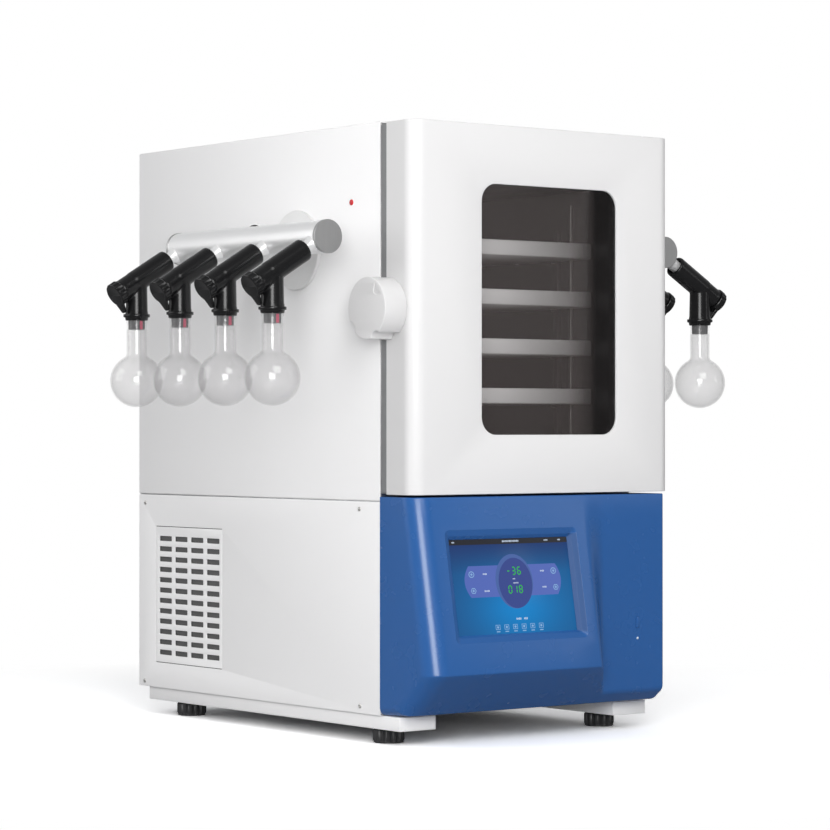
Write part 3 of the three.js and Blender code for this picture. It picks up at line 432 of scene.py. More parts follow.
def cut_sheet(outlines, thickness, edge, middle, across=(1, 0, 0), up=(0, 0, 1)):
    """A bmesh of flat sheet cut to outlines, the first outside, with eased edges all round.

    across and up are the sheet's own axes, and middle is where its centre plane's origin lies.
    """
    curve = bpy.data.curves.new("outline", "CURVE")
    curve.dimensions = "2D"
    curve.fill_mode = "BOTH"
    curve.extrude = thickness / 2 - edge
    curve.bevel_depth = edge
    curve.bevel_resolution = 2
    curve.offset = -edge
    for outline in outlines:
        spline = curve.splines.new("POLY")
        spline.points.add(len(outline) - 1)
        for point, place in zip(spline.points, outline):
            point.co = (*place, 0.0, 1.0)
        spline.use_cyclic_u = True
    holder = bpy.data.objects.new("outline", curve)
    mesh = bpy.data.meshes.new_from_object(holder)
    bm = bmesh.new()
    bm.from_mesh(mesh)
    bpy.data.objects.remove(holder)
    bpy.data.curves.remove(curve)
    bpy.data.meshes.remove(mesh)
    bmesh.ops.remove_doubles(bm, verts=bm.verts, dist=1e-6)
    across, up = Vector(across), Vector(up)
    turn = Matrix((across, up, across.cross(up))).transposed().to_4x4()
    bm.transform(Matrix.Translation(middle) @ turn)
    return bm


def added(bm, extra):
    """Adds the faces of one bmesh to another and frees it."""
    mesh = bpy.data.meshes.new("added")
    extra.to_mesh(mesh)
    extra.free()
    bm.from_mesh(mesh)
    bpy.data.meshes.remove(mesh)
    return bm


def rounded_box(low, high, edge, segments=2):
    """A bmesh box between two corners, with every edge rounded."""
    bm = bmesh.new()
    bmesh.ops.create_cube(bm, size=1.0)
    low, high = Vector(low), Vector(high)
    bmesh.ops.scale(bm, vec=high - low, verts=bm.verts)
    bmesh.ops.translate(bm, vec=(low + high) / 2, verts=bm.verts)
    bmesh.ops.bevel(bm, geom=list(bm.edges), offset=edge, segments=segments, profile=0.5,
                    affect="EDGES")
    return bm


def block(name, low, high, edge, segments=2):
    return from_bmesh(name, rounded_box(low, high, edge, segments))


def slot_grid(columns, rows, centre):
    """Outlines of the vent slots, in a grid about centre."""
    width, height, radius, column_pitch, row_pitch = 0.0388, 0.0085, 0.0016, 0.0487, 0.0177
    return [rounded_outline(width, height, radius,
                            (centre[0] + (column - (columns - 1) / 2) * column_pitch,
                             centre[1] + (row - (rows - 1) / 2) * row_pitch))
            for column in range(columns) for row in range(rows)]


def dust_filter(name):
    """Woven black filter cloth: a fine square mesh in tone and relief."""
    material, start = finish(name, (0.085, 0.085, 0.085), 0.75)
    threads = [start.maths("SINE", start.own(axis) * 3600.0) for axis in "YZ"]
    weave = 0.5 + 0.25 * (threads[0] + threads[1])
    return surfaced(material, (weave, 0.0002, 0.6), Base_Color=weave.blended(
        (0.035, 0.035, 0.036, 1.0), (0.15, 0.15, 0.148, 1.0)))


filter_cloth = dust_filter("filter_cloth")
outward = {"left": -1.0, "right": 1.0}
panel_thick, lip_thick, lip_reach, groove = 0.002, 0.002, 0.022, 0.0011
field_y, field_z, field_width, field_height = 0.2452, 0.2060, 0.2050, 0.2340
slots_y, slots_z, cloth_width, cloth_height = 0.2433, 0.2046, 0.212, 0.242
for side, out in outward.items():
    node = f"lower_side_panel_{side}"
    low, high, middle = box_of(node)
    face = low.x if out < 0 else high.x
    middle.x = face - out * panel_thick / 2
    field = (-out * (field_y - middle.y), field_z - middle.z)
    slots = (-out * (slots_y - middle.y), slots_z - middle.z)
    pressed = rounded_outline(field_width - 0.0006, field_height - 2 * groove, 0.0012, field)
    panel = cut_sheet([rounded_outline(high.y - low.y, high.z - low.z, 0.0),
                       rounded_outline(field_width, field_height, 0.0015, field)],
                      panel_thick, 0.0006, middle, (0, -out, 0))
    added(panel, cut_sheet([pressed] + slot_grid(4, 12, slots), panel_thick, 0.0005, middle,
                           (0, -out, 0)))
    near, far = sorted((face - out * lip_reach, face - out * 0.001))
    for z in (low.z + 0.0033, high.z - 0.0026):
        added(panel, rounded_box((near, low.y + 0.002, z - lip_thick / 2),
                                 (far, high.y - 0.0023, z + lip_thick / 2), 0.0003))
    seated(from_bmesh(f"vented_panel_{side}", panel, 40.0), white_coat, node)
    near, far = sorted((face - out * 0.0030, face - out * 0.0042))
    cloth = block(f"dust_filter_{side}",
                  (near, field_y - cloth_width / 2, field_z - cloth_height / 2),
                  (far, field_y + cloth_width / 2, field_z + cloth_height / 2), 0.0003)
    seated(cloth, filter_cloth)

# ------------------------------------------------------------------ rear panel
# One white coated sheet closes the whole back. It has a smaller vent field, a hole for the
# pump's pipe and a cut-out for the mains inlet.
low, high, middle = box_of("rear_panel")
pipe_low, pipe_high, pipe_middle = box_of("vacuum_port")
vent_z, vent_half_width, vent_half_height = 0.236, 0.078, 0.048
rear = cut_sheet([rounded_outline(high.x - low.x, high.z - low.z, 0.0),
                  oval(0.0304, 0.0304, (middle.x - pipe_middle.x, pipe_middle.z - middle.z)),
                  rounded_outline(0.0486, 0.0306, 0.002, (0.150, 0.106 - middle.z))]
                 + slot_grid(3, 5, (0.0, vent_z - middle.z)),
                 panel_thick, 0.0005, middle, (-1, 0, 0))
seated(from_bmesh("rear_sheet", rear, 40.0), white_coat, "rear_panel")
seated(block("dust_filter_rear",
             (-vent_half_width, low.y - 0.0036, vent_z - vent_half_height),
             (vent_half_width, low.y - 0.0024, vent_z + vent_half_height), 0.0003),
       filter_cloth)

# ------------------------------------------------------------------ upper casing
# One sheet bent over the chamber: both flanks and the top, with a lip folded in below. The
# bends have a 3 mm radius, and its cut edges are eased.


def bent_sheet(name, path, thickness, radius, low, high, steps=5):
    """Sheet folded along its outer line in X and Z, from low to high in Y."""
    outer, inner = [], []
    for k, (x, z) in enumerate(path):
        here = Vector((x, z))
        before = (here - Vector(path[k - 1])).normalized() if k else None
        after = (Vector(path[k + 1]) - here).normalized() if k < len(path) - 1 else None
        if before is None or after is None:
            along = after or before
            outer.append(here)
            inner.append(here + Vector((along.y, -along.x)) * thickness)
            continue
        centre = here - before * radius + Vector((before.y, -before.x)) * radius
        for step in range(steps + 1):
            turn = math.radians(90) * step / steps
            spoke = Vector((-before.y, before.x)) * math.cos(turn) + before * math.sin(turn)
            outer.append(centre + spoke * radius)
            inner.append(centre + spoke * (radius - thickness))
    line = outer + inner[::-1]
    bm = lofted([[(point.x, y, point.y) for point in line] for y in (low, high)], False)
    rows = [list(bm.verts)[:len(line)], list(bm.verts)[len(line):]]
    for row in rows:
        for k in range(len(outer) - 1):
            bm.faces.new([row[k], row[k + 1], row[-k - 2], row[-k - 1]])
    bmesh.ops.recalc_face_normals(bm, faces=bm.faces)
    sharp = [edge for edge in bm.edges if edge.calc_face_angle(0.0) > math.radians(60)]
    bmesh.ops.bevel(bm, geom=sharp, offset=0.0005, segments=2, profile=0.5, affect="EDGES")
    return from_bmesh(name, bm, 40.0)


low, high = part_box("upper_casing")
casing = bent_sheet("casing_sheet",
                    [(low.x + lip_reach, low.z), (low.x, low.z), (low.x, high.z),
                     (high.x, high.z), (high.x, low.z), (high.x - lip_reach, low.z)],
                    panel_thick, 0.003, low.y, high.y)
seated(casing, white_coat, "upper_casing")

# ------------------------------------------------------------------ panel screws and blanking plug
# Nickel-plated cross-head screws hold the lower panels and the back. A red plastic plug
# closes a spare hole near the front of the left flank.


def settled(piece, *steps):
    """The mesh of a piece once modifiers, each a (kind, settings) pair, have been applied."""
    bpy.context.scene.collection.objects.link(piece)
    for kind, settings in steps:
        modifier = piece.modifiers.new(kind.lower(), kind)
        for name, value in settings.items():
            setattr(modifier, name, value)
    bpy.context.view_layer.update()
    mesh = bpy.data.meshes.new_from_object(
        piece.evaluated_get(bpy.context.evaluated_depsgraph_get()))
    bpy.data.objects.remove(piece)
    return mesh


def screw_head(radius, height):
    """The mesh of a low dome head about Z with a cross recess cut into it."""
    head = turned("head", [(radius, -0.0004)] + [(radius * out, height * up) for out, up in (
        (1.0, 0.30), (0.93, 0.60), (0.72, 0.86), (0.40, 0.98), (0.0, 1.0))], 24, 60.0)
    bm = bmesh.new()
    bm.from_mesh(head.data)
    rim = [edge for edge in bm.edges if len(edge.link_faces) == 1]
    bmesh.ops.contextual_create(bm, geom=rim)
    bm.to_mesh(head.data)
    bm.free()
    arm, half, bottom, top = radius * 0.62, radius * 0.13, height * 0.25, height * 2
    cross = rounded_box((-arm, -half, bottom), (arm, half, top), 0.00005, 1)
    tool = from_bmesh("cross_tool", added(cross, rounded_box(
        (-half, -arm, bottom), (half, arm, top), 0.00005, 1)))
    bpy.context.scene.collection.objects.link(tool)
    mesh = settled(head, ("BOOLEAN", {"operation": "DIFFERENCE", "solver": "EXACT",
                                      "use_self": True, "object": tool}))
    bpy.data.objects.remove(tool)
    return mesh


def screwed(name, place, facing, roll):
    """A screw in its hole, turned to face a direction, with its cross at any angle."""
    screw = bpy.data.objects.new(name, cross_head)
    screw.matrix_world = about(facing, place) @ Matrix.Rotation(roll, 4, "Z")
    seated(screw)


nickel, start = finish("nickel_plate", (0.62, 0.61, 0.59), 0.28, 1.0)
surfaced(nickel, Roughness=0.20 + 0.18 * grain(start, 900.0))
cross_head = screw_head(0.0036, 0.0018)
cross_head.materials.append(nickel)
side_x = {"left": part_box("lower_side_panel_left")[0].x,
          "right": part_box("lower_side_panel_right")[1].x}
for number, (y, z) in enumerate(((0.3801, 0.3623), (-0.2426, 0.3647), (0.3815, 0.0550),
                                 (-0.2439, 0.0574)), 1):
    for side, out in outward.items():
        screwed(f"panel_screw_{side}_{number}", (side_x[side], y, z), (out, 0, 0), 0.4 * number)
rear_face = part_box("rear_panel")[1].y
for number, (x, z) in enumerate([(x, z) for x in (-0.243, 0.243)
                                 for z in (0.062, 0.290, 0.500, 0.725, 0.950)], 1):
    screwed(f"rear_screw_{number}", (x, rear_face, z), (0, 1, 0), 0.7 * number)

red_plastic, start = finish("red_plastic", (0.56, 0.016, 0.024), 0.32)
surfaced(red_plastic, Roughness=0.26 + 0.12 * grain(start, 500.0),
         Base_Color=grain(start, 220.0).blended((0.50, 0.012, 0.020, 1.0),
                                                (0.60, 0.020, 0.028, 1.0)))
plug = turned("blanking_plug", [(0.0, 0.0), (0.00475, 0.0), (0.00475, 0.0006), (0.0044, 0.0012),
                                (0.0034, 0.0017), (0.0018, 0.0020), (0.0, 0.0021)], 32, 50.0,
              (-1, 0, 0), (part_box("upper_casing")[0].x, -0.2216, 0.8447))
seated(plug, red_plastic)

# ------------------------------------------------------------------ front frame and chamber
# The chamber is a welded stainless box, open to the front, on two channels. The frame round
# its mouth is a thicker satin plate, and the door's seal closes on it.


def mill_steel(name, colour, roughness):
    """Rolled stainless from the mill: soft bands and fine scratches, and painted shade that
    darkens it to the right.
    """
    material, start = finish(name, colour, roughness, 1.0)
    bands = grain(start, 14.0, 4.0, (1.0, 0.25, 1.0))
    scratches = grain(start, 420.0, 3.0, (1.0, 0.05, 1.0))
    # Painted shade: right of x = 0.06 the colour falls to 0.16 of itself, for the shade on the
    # chamber's right.
    shade = ((start.own("X") - 0.06) * 9.0).clamped()
    tone = (1.0 - shade) * (0.80 + 0.12 * bands + 0.08 * scratches)
    return surfaced(material, (scratches, 0.00002, 0.6),
                    Base_Color=tone.blended(toned(colour, 0.16), toned(colour)),
                    Roughness=roughness - 0.10 + 0.22 * bands)


satin_across = brushed("satin_steel_across", (0.60, 0.60, 0.59), 0.32, 0)
# This finish paints shade on whatever lies right of x = 0.06: the chamber's right wall, the rack,
# the oil header and the coil's right end.
mill_finish = mill_steel("mill_steel", (0.44, 0.43, 0.41), 0.42)
seated(eased("mouth_frame", "front_frame", 0.0006), satin_across, "front_frame")
seated(eased("chamber_box", "vacuum_chamber", 0.0006), mill_finish,
       "vacuum_chamber")

# ------------------------------------------------------------------ heated shelves and rack
# Four hollow stainless plates that oil warms or cools, with satin faces and rounded rims. They
# rest on ledges of a post rack; braided hoses join them to an upright pipe on the right.


def blasted(name, colour, roughness, painted_shade_right):
    """Bead-blasted plate: half-matt grey with a fine sparkle, and painted shade that darkens it
    towards the right; the last argument is its tone out there.
    """
    material, start = finish(name, colour, roughness, 0.35)
    grit = grain(start, 1500.0)
    # Painted shade: the colour darkens from left to right, to the last argument's share of itself.
    shade_to_right = ((start.own("X") + 0.02) * 5.0).clamped()
    tone = (0.92 * shade_to_right + 0.08 * grit).blended(toned(colour), toned(colour, painted_shade_right))
    return surfaced(material, (grit, 0.00002, 0.4), Base_Color=tone)


def tube(name, points, radius, sides=16):
    """A round tube along a smooth line through points, with equal steps and a steady frame."""
    points = [Vector(point) for point in points]
    ahead = [(points[min(k + 1, len(points) - 1)] - points[max(k - 1, 0)]).normalized()
             for k in range(len(points))]
    first = ahead[0].orthogonal().normalized()
    rings = []
    for point, along in zip(points, ahead):
        first = (first - along * first.dot(along)).normalized()
        second = along.cross(first)
        rings.append([point + radius * (first * x + second * y)
                      for x, y in oval(2.0, 2.0, sides=sides)])
    return from_bmesh(name, lofted(rings), 50.0)


def smooth_line(points, steps=6):
    """Points on a Catmull-Rom curve through the given ones."""
    points = [Vector(point) for point in points]
    ends = [points[0] * 2 - points[1]] + points + [points[-1] * 2 - points[-2]]
    line = []
    for k in range(1, len(ends) - 2):
        a, b, c, d = ends[k - 1:k + 3]
        for step in range(steps):
            t = step / steps
            line.append(0.5 * ((2 * b) + (c - a) * t + (2 * a - 5 * b + 4 * c - d) * t * t
                               + (3 * b - a - 3 * c + d) * t ** 3))
    return line + [points[-1]]


def braid(name):
    """Stainless wire braid: two crossing sets of fine bright ridges."""
    material, start = finish(name, (0.52, 0.52, 0.51), 0.35, 1.0)
    place = start.node("TexCoord", out="Object")
    mirrored = start.node("Mapping", None, {"Vector": place, "Scale": (-1.0, 1.0, 1.0)})
    warp, weft = [start.node("TexWave", {"bands_direction": "DIAGONAL"}, {0: lay, 1: 620.0},
                             out="Fac") for lay in (place, mirrored)]
    ridges = warp * weft
    return surfaced(material, (ridges, 0.0003, 0.8), Base_Color=ridges.blended(
        (0.22, 0.22, 0.22, 1.0), (0.62, 0.62, 0.61, 1.0)))


# The shelves get painted shade, darkening to 0.40 of their tone towards the chamber's right.
shelf_satin = blasted("blasted_shelf_steel", (0.84, 0.825, 0.82), 0.46, 0.40)
hose_braid = braid("hose_braid")
header_x, header_y = 0.1905, -0.2255
shelf_nodes = [f"heated_shelf_{level}" for level in range(1, 5)]
for level, node in enumerate(shelf_nodes, 1):
    plate = from_bmesh(f"shelf_plate_{level}", rounded_box(*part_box(node), 0.0022, 3), 30.0)
    seated(plate, shelf_satin, node)
seated(eased("rack_frame", "shelf_rack", 0.0008), mill_finish, "shelf_rack")
header = tube("oil_header", [(header_x, header_y, z) for z in (0.4802, 0.6, 0.8, 0.8600)],
              0.0040, 20)
seated(header, mill_finish)
for level, node in enumerate(shelf_nodes, 1):
    low, high, middle = box_of(node)
    line = [(high.x - 0.001, header_y + 0.060, middle.z)] + [
        (header_x + right, header_y + back, middle.z + up) for right, back, up in (
            (-0.002, 0.056, 0.0), (0.001, 0.040, 0.006), (0.001, 0.018, 0.010),
            (0.0, 0.0035, 0.010))]
    seated(tube(f"oil_hose_{level}", smooth_line(line), 0.0034), hose_braid)

# ------------------------------------------------------------------ cold trap coil
# One bare stainless tube, bent into five level passes on the chamber's rear wall, where it
# catches the vapour as ice. Its bends are true half circles.
low, high, middle = box_of("cold_trap_coil")
coil_y, pitch, first_z, straight, passes = middle.y, 0.064, low.z + 0.006, 0.130, 5
line = []
for coil_pass in range(passes):
    heading = 1 if coil_pass % 2 == 0 else -1
    z = first_z + coil_pass * pitch
    line += [(x * heading, coil_y, z) for x in (-straight, 0.0, straight)]
    for step in range(1, 12 if coil_pass < passes - 1 else 1):
        turn = math.pi * step / 12
        line.append((heading * (straight + pitch / 2 * math.sin(turn)), coil_y,
                     z + pitch / 2 * (1 - math.cos(turn))))
seated(tube("trap_coil", line, 0.0051, 20), mill_finish, "cold_trap_coil")

# ------------------------------------------------------------------ flask manifolds
# A polished stainless tube on each flank, capped at both ends. A short neck carries it from a
# flat wall flange, and four bare stubs slope out and down from it for the flask valves.


def polished(name, colour, roughness, metallic):
    """Polished stainless: faint buffing lines, and a hazy bloom that varies along the tube."""
    material, start = finish(name, colour, roughness, metallic)
    buffing = grain(start, 260.0, 3.0, (1.0, 1.0, 0.06))
    haze = grain(start, 12.0, 3.0)
    return surfaced(material, (buffing, 0.000004, 0.4),
                    Base_Color=haze.blended(toned(colour, 0.96), toned(colour)),
                    Roughness=roughness - 0.04 + 0.05 * buffing + 0.05 * haze)


def joined(name, parts, crease=35.0):
    """One mesh from several closed ones, which are used up."""
    bm = bmesh.new()
    for part in parts:
        spare = part.data
        bm.from_mesh(spare)
        bpy.data.objects.remove(part)
        bpy.data.meshes.remove(spare)
    return from_bmesh(name, bm, crease)


bright_steel = polished("polished_steel", (0.90, 0.90, 0.90), 0.30, 0.45)
cap_steel = brushed("cap_steel", (0.52, 0.52, 0.52), 0.48, 2)
# Only a faint painted shade here: the right flange is painted 3% darker.
flange_steel = blasted("flange_steel", (0.78, 0.78, 0.775), 0.40, 0.97)
slope = math.radians(31.0)
row_pitch, row_middle = 0.1285, -0.0763
port_rows = [row_middle + (row - 1.5) * row_pitch for row in range(4)]
manifold_y, manifold_z = (port_rows[0] + port_rows[3]) / 2, 0.785
flank, tube_out, tube_half, cap_in = 0.2572, 0.091, 0.210, 0.006
stub_end, flange_drop = 0.078, 0.009
for side, out in outward.items():
    wall_x, axis_x = out * flank, out * flank + out * tube_out
    reach = tube_half - cap_in
    parts = [
        turned("pipe", [(0.0225, -reach), (0.0255, -reach), (0.0255, reach), (0.0225, reach),
                        (0.0225, -reach)], 72, 35.0, (0, 1, 0), (axis_x, manifold_y, manifold_z)),
        turned("neck", [(0.0285, 0.0040), (0.0340, 0.0040), (0.0312, 0.0058), (0.0300, 0.0090),
                        (0.0298, 0.0860), (0.0290, 0.0860), (0.0285, 0.0040)], 72, 25.0,
               (out, 0, 0), (wall_x, manifold_y, manifold_z))]
    for y in port_rows:
        parts.append(turned("stub", [
            (0.0070, 0.0200), (0.0136, 0.0200), (0.0122, 0.0262), (0.0104, 0.0292),
            (0.0100, 0.0330), (0.0100, stub_end - 0.0010), (0.0093, stub_end - 0.0002),
            (0.0070, stub_end - 0.0002), (0.0070, 0.0200)], 32, 35.0,
            (out * math.cos(slope), 0.0, -math.sin(slope)), (axis_x, y, manifold_z)))
    seated(joined(f"manifold_tube_{side}", parts), bright_steel,
           f"manifold_{side}")
    disc = turned(f"wall_flange_{side}", [
        (0.0, 0.0002), (0.0634, 0.0002), (0.0640, 0.0008), (0.0640, 0.0056), (0.0630, 0.0066),
        (0.0, 0.0068)], 96, 25.0, (out, 0, 0), (wall_x, manifold_y, manifold_z - flange_drop))
    seated(disc, flange_steel)
    caps = [turned("cap", [(0.0, -0.0060), (0.0228, -0.0060), (0.0228, -0.0004),
                           (0.0258, -0.0004), (0.0262, 0.0002), (0.0262, 0.0050),
                           (0.0256, 0.0058), (0.0, 0.0059)], 64, 25.0,
                   (0, end, 0), (axis_x, manifold_y + end * reach, manifold_z))
            for end in (-1, 1)]
    seated(joined(f"manifold_caps_{side}", caps), cap_steel)

# ------------------------------------------------------------------ flask valves
# Each is a black rubber elbow that pushes onto a stub, with a plug and a lever knob in its
# outer end. The collar below stops the flask; a grey ground joint goes down into its neck.


def rubber(name, colour, roughness):
    """Moulded black rubber: a soft sheen, slight bloom in patches, and a very fine grain."""
    material, start = finish(name, colour, roughness, Specular_IOR_Level=0.32)
    bloom = grain(start, 45.0, 4.0)
    return surfaced(material, (grain(start, 1300.0), 0.00006, 0.5),
                    Base_Color=bloom.blended(toned(colour), toned(colour, dust=0.003)),
                    Roughness=roughness - 0.05 + 0.10 * bloom)


def hung(name, mesh, side, row):
    """A copy of a mesh made at a port of the left flank, at any port of either flank."""
    piece = bpy.data.objects.new(name, mesh)
    place = Matrix.Translation((outward[side] * flank + outward[side] * tube_out,
                                port_rows[row - 1], manifold_z))
    piece.matrix_world = place @ Matrix.Rotation(0.0 if side == "left" else math.pi, 4, "Z")
    return piece


valve_rubber = rubber("valve_rubber", (0.006, 0.006, 0.0065), 0.22)
joint_grey, start = finish("ground_joint", (0.05, 0.05, 0.052), 0.42, Coat_Weight=0.3)
surfaced(joint_grey, (grain(start, 900.0), 0.00005, 0.5),
         Base_Color=grain(start, 60.0, 3.0).blended((0.035, 0.035, 0.037, 1.0),
                                                    (0.075, 0.075, 0.078, 1.0)))

valve_start, valve_end, valve_radius, neck_at, neck_drop = 0.040, 0.144, 0.0180, 0.108, 0.1200
bore_radius, mouth_radius = 0.0105, 0.0148
port_axis = Vector((-math.cos(slope), 0.0, -math.sin(slope)))
neck_x, neck_top = port_axis.x * neck_at, port_axis.z * neck_at
neck_foot = neck_drop + neck_top - 0.008
barrel = turned("barrel", [
    (0.0, valve_start), (0.0150, valve_start), (0.0172, valve_start + 0.0008),
    (valve_radius, valve_start + 0.0028), (valve_radius, valve_end - 0.0300),
    (0.0174, valve_end - 0.0270), (0.0174, valve_end - 0.0050),
    (valve_radius, valve_end - 0.0030), (0.0178, valve_end - 0.0006), (0.0168, valve_end),
    (0.0, valve_end)], 48, 35.0, port_axis)
neck = turned("neck", [(0.0, -0.006), (0.0120, -0.004), (0.0160, 0.0), (0.0170, 0.010),
                       (0.0178, 0.045), (valve_radius, neck_foot), (0.0, neck_foot)], 48, 35.0,
              (0, 0, -1), (neck_x, 0, neck_top))
merged = settled(joined("elbow", [barrel, neck]),
                 ("REMESH", {"mode": "VOXEL", "voxel_size": 0.0011, "use_smooth_shade": True}),
                 ("SMOOTH", {"factor": 0.5, "iterations": 12}))
bm = bmesh.new()
bm.from_mesh(merged)
along_port = about(port_axis, (0, 0, 0))
bm.transform(along_port.inverted())
mouth = [face for face in bm.faces if (face.calc_center_median().z < valve_start + 0.0012
                                       and face.calc_center_median().xy.length < mouth_radius)]
bmesh.ops.delete(bm, geom=mouth, context="FACES")
rim = [edge for edge in bm.edges if edge.is_boundary]
for vert in bmesh.ops.extrude_edge_only(bm, edges=rim)["geom"]:
    if isinstance(vert, bmesh.types.BMVert):
        vert.co = (*(vert.co.xy.normalized() * bore_radius), stub_end - 0.004)
bm.transform(along_port)
skirt = turned("skirt", [(radius, height - neck_drop + 0.0054) for radius, height in (
    (0.0120, 0.0100), (0.0182, 0.0090), (0.0186, 0.0050), (0.0210, 0.0048), (0.0215, 0.0042),
    (0.0215, 0.0008), (0.0210, 0.0), (0.0188, -0.0004), (0.0180, -0.0050), (0.0174, -0.0053),
    (0.0120, -0.0053), (0.0120, 0.0100))], 48, 30.0, place=(neck_x, 0, 0))
bm.from_mesh(skirt.data)
bpy.data.objects.remove(skirt)
elbow_mesh = from_bmesh("valve_elbow", bm, 60.0, faces_out=True).data
elbow_mesh.materials.append(valve_rubber)

joint_mesh = turned("joint", [(radius, height - neck_drop) for radius, height in (
    (0.0070, 0.0040), (0.0136, 0.0040), (0.0136, -0.0010), (0.0132, -0.0142),
    (0.0126, -0.0150), (0.0078, -0.0150), (0.0070, -0.0142), (0.0070, 0.0040))], 48, 30.0,
    place=(neck_x, 0, 0)).data
joint_mesh.materials.append(joint_grey)

knob_start, knob_end, scallops = valve_end + 0.0003, valve_end + 0.0133, 15
lever = [(point.x, -point.y) for point in smooth_line([(x, y, 0) for x, y in (
    (0.0000, 0.0150), (0.0060, 0.0142), (0.0120, 0.0118), (0.0180, 0.0090), (0.0240, 0.0066),
    (0.0290, 0.0050), (0.0315, 0.0040), (0.0327, 0.0024), (0.0330, 0.0))], 4)]
lever += [(x, -y) for x, y in reversed(lever[:-1])]
bm = cut_sheet([lever], 0.0058, 0.0014, (0, 0, knob_end - 0.0030), up=(0, 1, 0))
added(bm, fluted([
    (knob_start, 0.0170, 0.0), (knob_start, 0.0192, 0.0), (knob_start + 0.0010, 0.0199, 0.0),
    (knob_start + 0.0024, 0.0200, 0.0014), (knob_end - 0.0024, 0.0200, 0.0014),
    (knob_end - 0.0010, 0.0196, 0.00056), (knob_end - 0.0002, 0.0184, 0.0),
    (knob_end, 0.0170, 0.0), (knob_end - 0.0008, 0.0140, 0.0)], 6 * scallops,
    lambda angle: 0.5 + 0.5 * math.cos(scallops * angle)))
knob_mesh = from_bmesh("valve_knob", bm, 32.0).data
down = Vector((-port_axis.z, 0.0, port_axis.x))
knob_mesh.transform(Matrix((down, port_axis.cross(down), port_axis)).transposed().to_4x4())
knob_mesh.materials.append(valve_rubber)

red_ink, start = finish("red_mark", (0.42, 0.045, 0.095), 0.45)
surfaced(red_ink, Roughness=0.38 + 0.14 * grain(start, 800.0))
mark_mesh = from_bmesh("joint_mark", rounded_box(
    (neck_x - 0.0026, -0.0139, -neck_drop - 0.0145),
    (neck_x + 0.0026, -0.0133, -neck_drop - 0.0010), 0.0001, 1)).data
mark_mesh.materials.append(red_ink)
for side in ("left", "right"):
    for row in range(1, 5):
        seated(hung(f"valve_elbow_{side}_{row}", elbow_mesh, side, row),
               node=f"valve_body_{side}_{row}")
        seated(hung(f"ground_joint_{side}_{row}", joint_mesh, side, row))
        if side == "left":
            seated(hung(f"joint_mark_{side}_{row}", mark_mesh, side, row))
        seated(hung(f"lever_knob_{side}_{row}", knob_mesh, side, row),
               node=f"valve_knob_{side}_{row}", body=f"knob_{side}_{row}")

# ------------------------------------------------------------------ flasks
# Eight 250 ml round-bottom flasks, blown from clear borosilicate glass about 2 mm thick. Each
# has a beaded rim and hangs by its neck from the valve's ground joint.


def clear_glass(name, joint_end):
    """Thin clear glass: it greys what lies behind, more along its wall, and shades little."""
    material, start = finish(name, (0.56, 0.55, 0.555), 0.05, Alpha=0.20,
                             Specular_IOR_Level=0.9, IOR=1.7)
    rim = start.node("LayerWeight", None, {"Blend": 0.30}, out="Facing")
    rim = rim * rim * rim
    grey = 0.19 + 0.26 * rim - 0.12 * (start.own("Z") > joint_end)
    shadow = start.node("LightPath", out="Is Shadow Ray")
    return surfaced(material, (grain(start, 30.0, 1.0), 0.0004, 0.25),
                    Base_Color=rim.blended((0.56, 0.55, 0.555, 1.0), (0.40, 0.395, 0.40, 1.0)),
                    Alpha=grey * (1 - 0.75 * shadow))


def flask_line(inset, steps=40):
    """Radius and height along the wall from the bottom to below the rim, set in by inset."""
    radius, bend = ball - inset, fillet + inset
    rise = math.sqrt((ball + fillet) ** 2 - (neck_radius + fillet) ** 2)
    lean = math.atan2(neck_radius + fillet, rise)
    line = [(0.0, ball_z - radius)]
    for k in range(1, steps + 1):
        turn = math.pi - (math.pi - lean) * k / steps
        line.append((radius * math.sin(turn), ball_z + radius * math.cos(turn)))
    for k in range(1, 7):
        turn = lean + (math.pi / 2 - lean) * k / 6
        line.append((neck_radius + fillet - bend * math.sin(turn),
                     ball_z + rise - bend * math.cos(turn)))
    return line


glass = clear_glass("flask_glass", -neck_drop - 0.0145)
ball, wall, neck_radius, fillet = 0.0425, 0.0020, 0.0162, 0.0085
ball_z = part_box("flask_left_1")[0].z - manifold_z + ball
rim_z = -neck_drop - 0.0003
outer = flask_line(0.0) + [(neck_radius, rim_z - 0.0060), (0.0164, rim_z - 0.0042),
                           (0.0171, rim_z - 0.0030), (0.0172, rim_z - 0.0016),
                           (0.0167, rim_z - 0.0004), (0.0158, rim_z)]
inner = flask_line(wall) + [(neck_radius - wall, rim_z - 0.0060), (0.0143, rim_z - 0.0012),
                            (0.0149, rim_z - 0.0002)]
flask_mesh = turned("round_flask", outer + inner[::-1], 72, 70.0, place=(neck_x, 0, 0)).data
flask_mesh.materials.append(glass)
for side in ("left", "right"):
    for row in range(1, 5):
        seated(hung(f"round_flask_{side}_{row}", flask_mesh, side, row),
               node=f"flask_{side}_{row}")

# ------------------------------------------------------------------ compressor, condenser and fan
# The refrigeration set stands on the base plate: a welded black can, a finned aluminium
# condenser behind the left vent, and a five-blade fan on the condenser's motor.


def enamel(name, colour, roughness):
    """Sprayed black enamel: a clear gloss over a clouded tone, and a slight orange peel."""
    material, start = finish(name, colour, roughness, Coat_Weight=0.4)
    tone = grain(start, 30.0, 3.0).blended(toned(colour), toned(colour, dust=0.01))
    return surfaced(material, (grain(start, 380.0, 1.0), 0.00008, 0.5), Base_Color=tone)


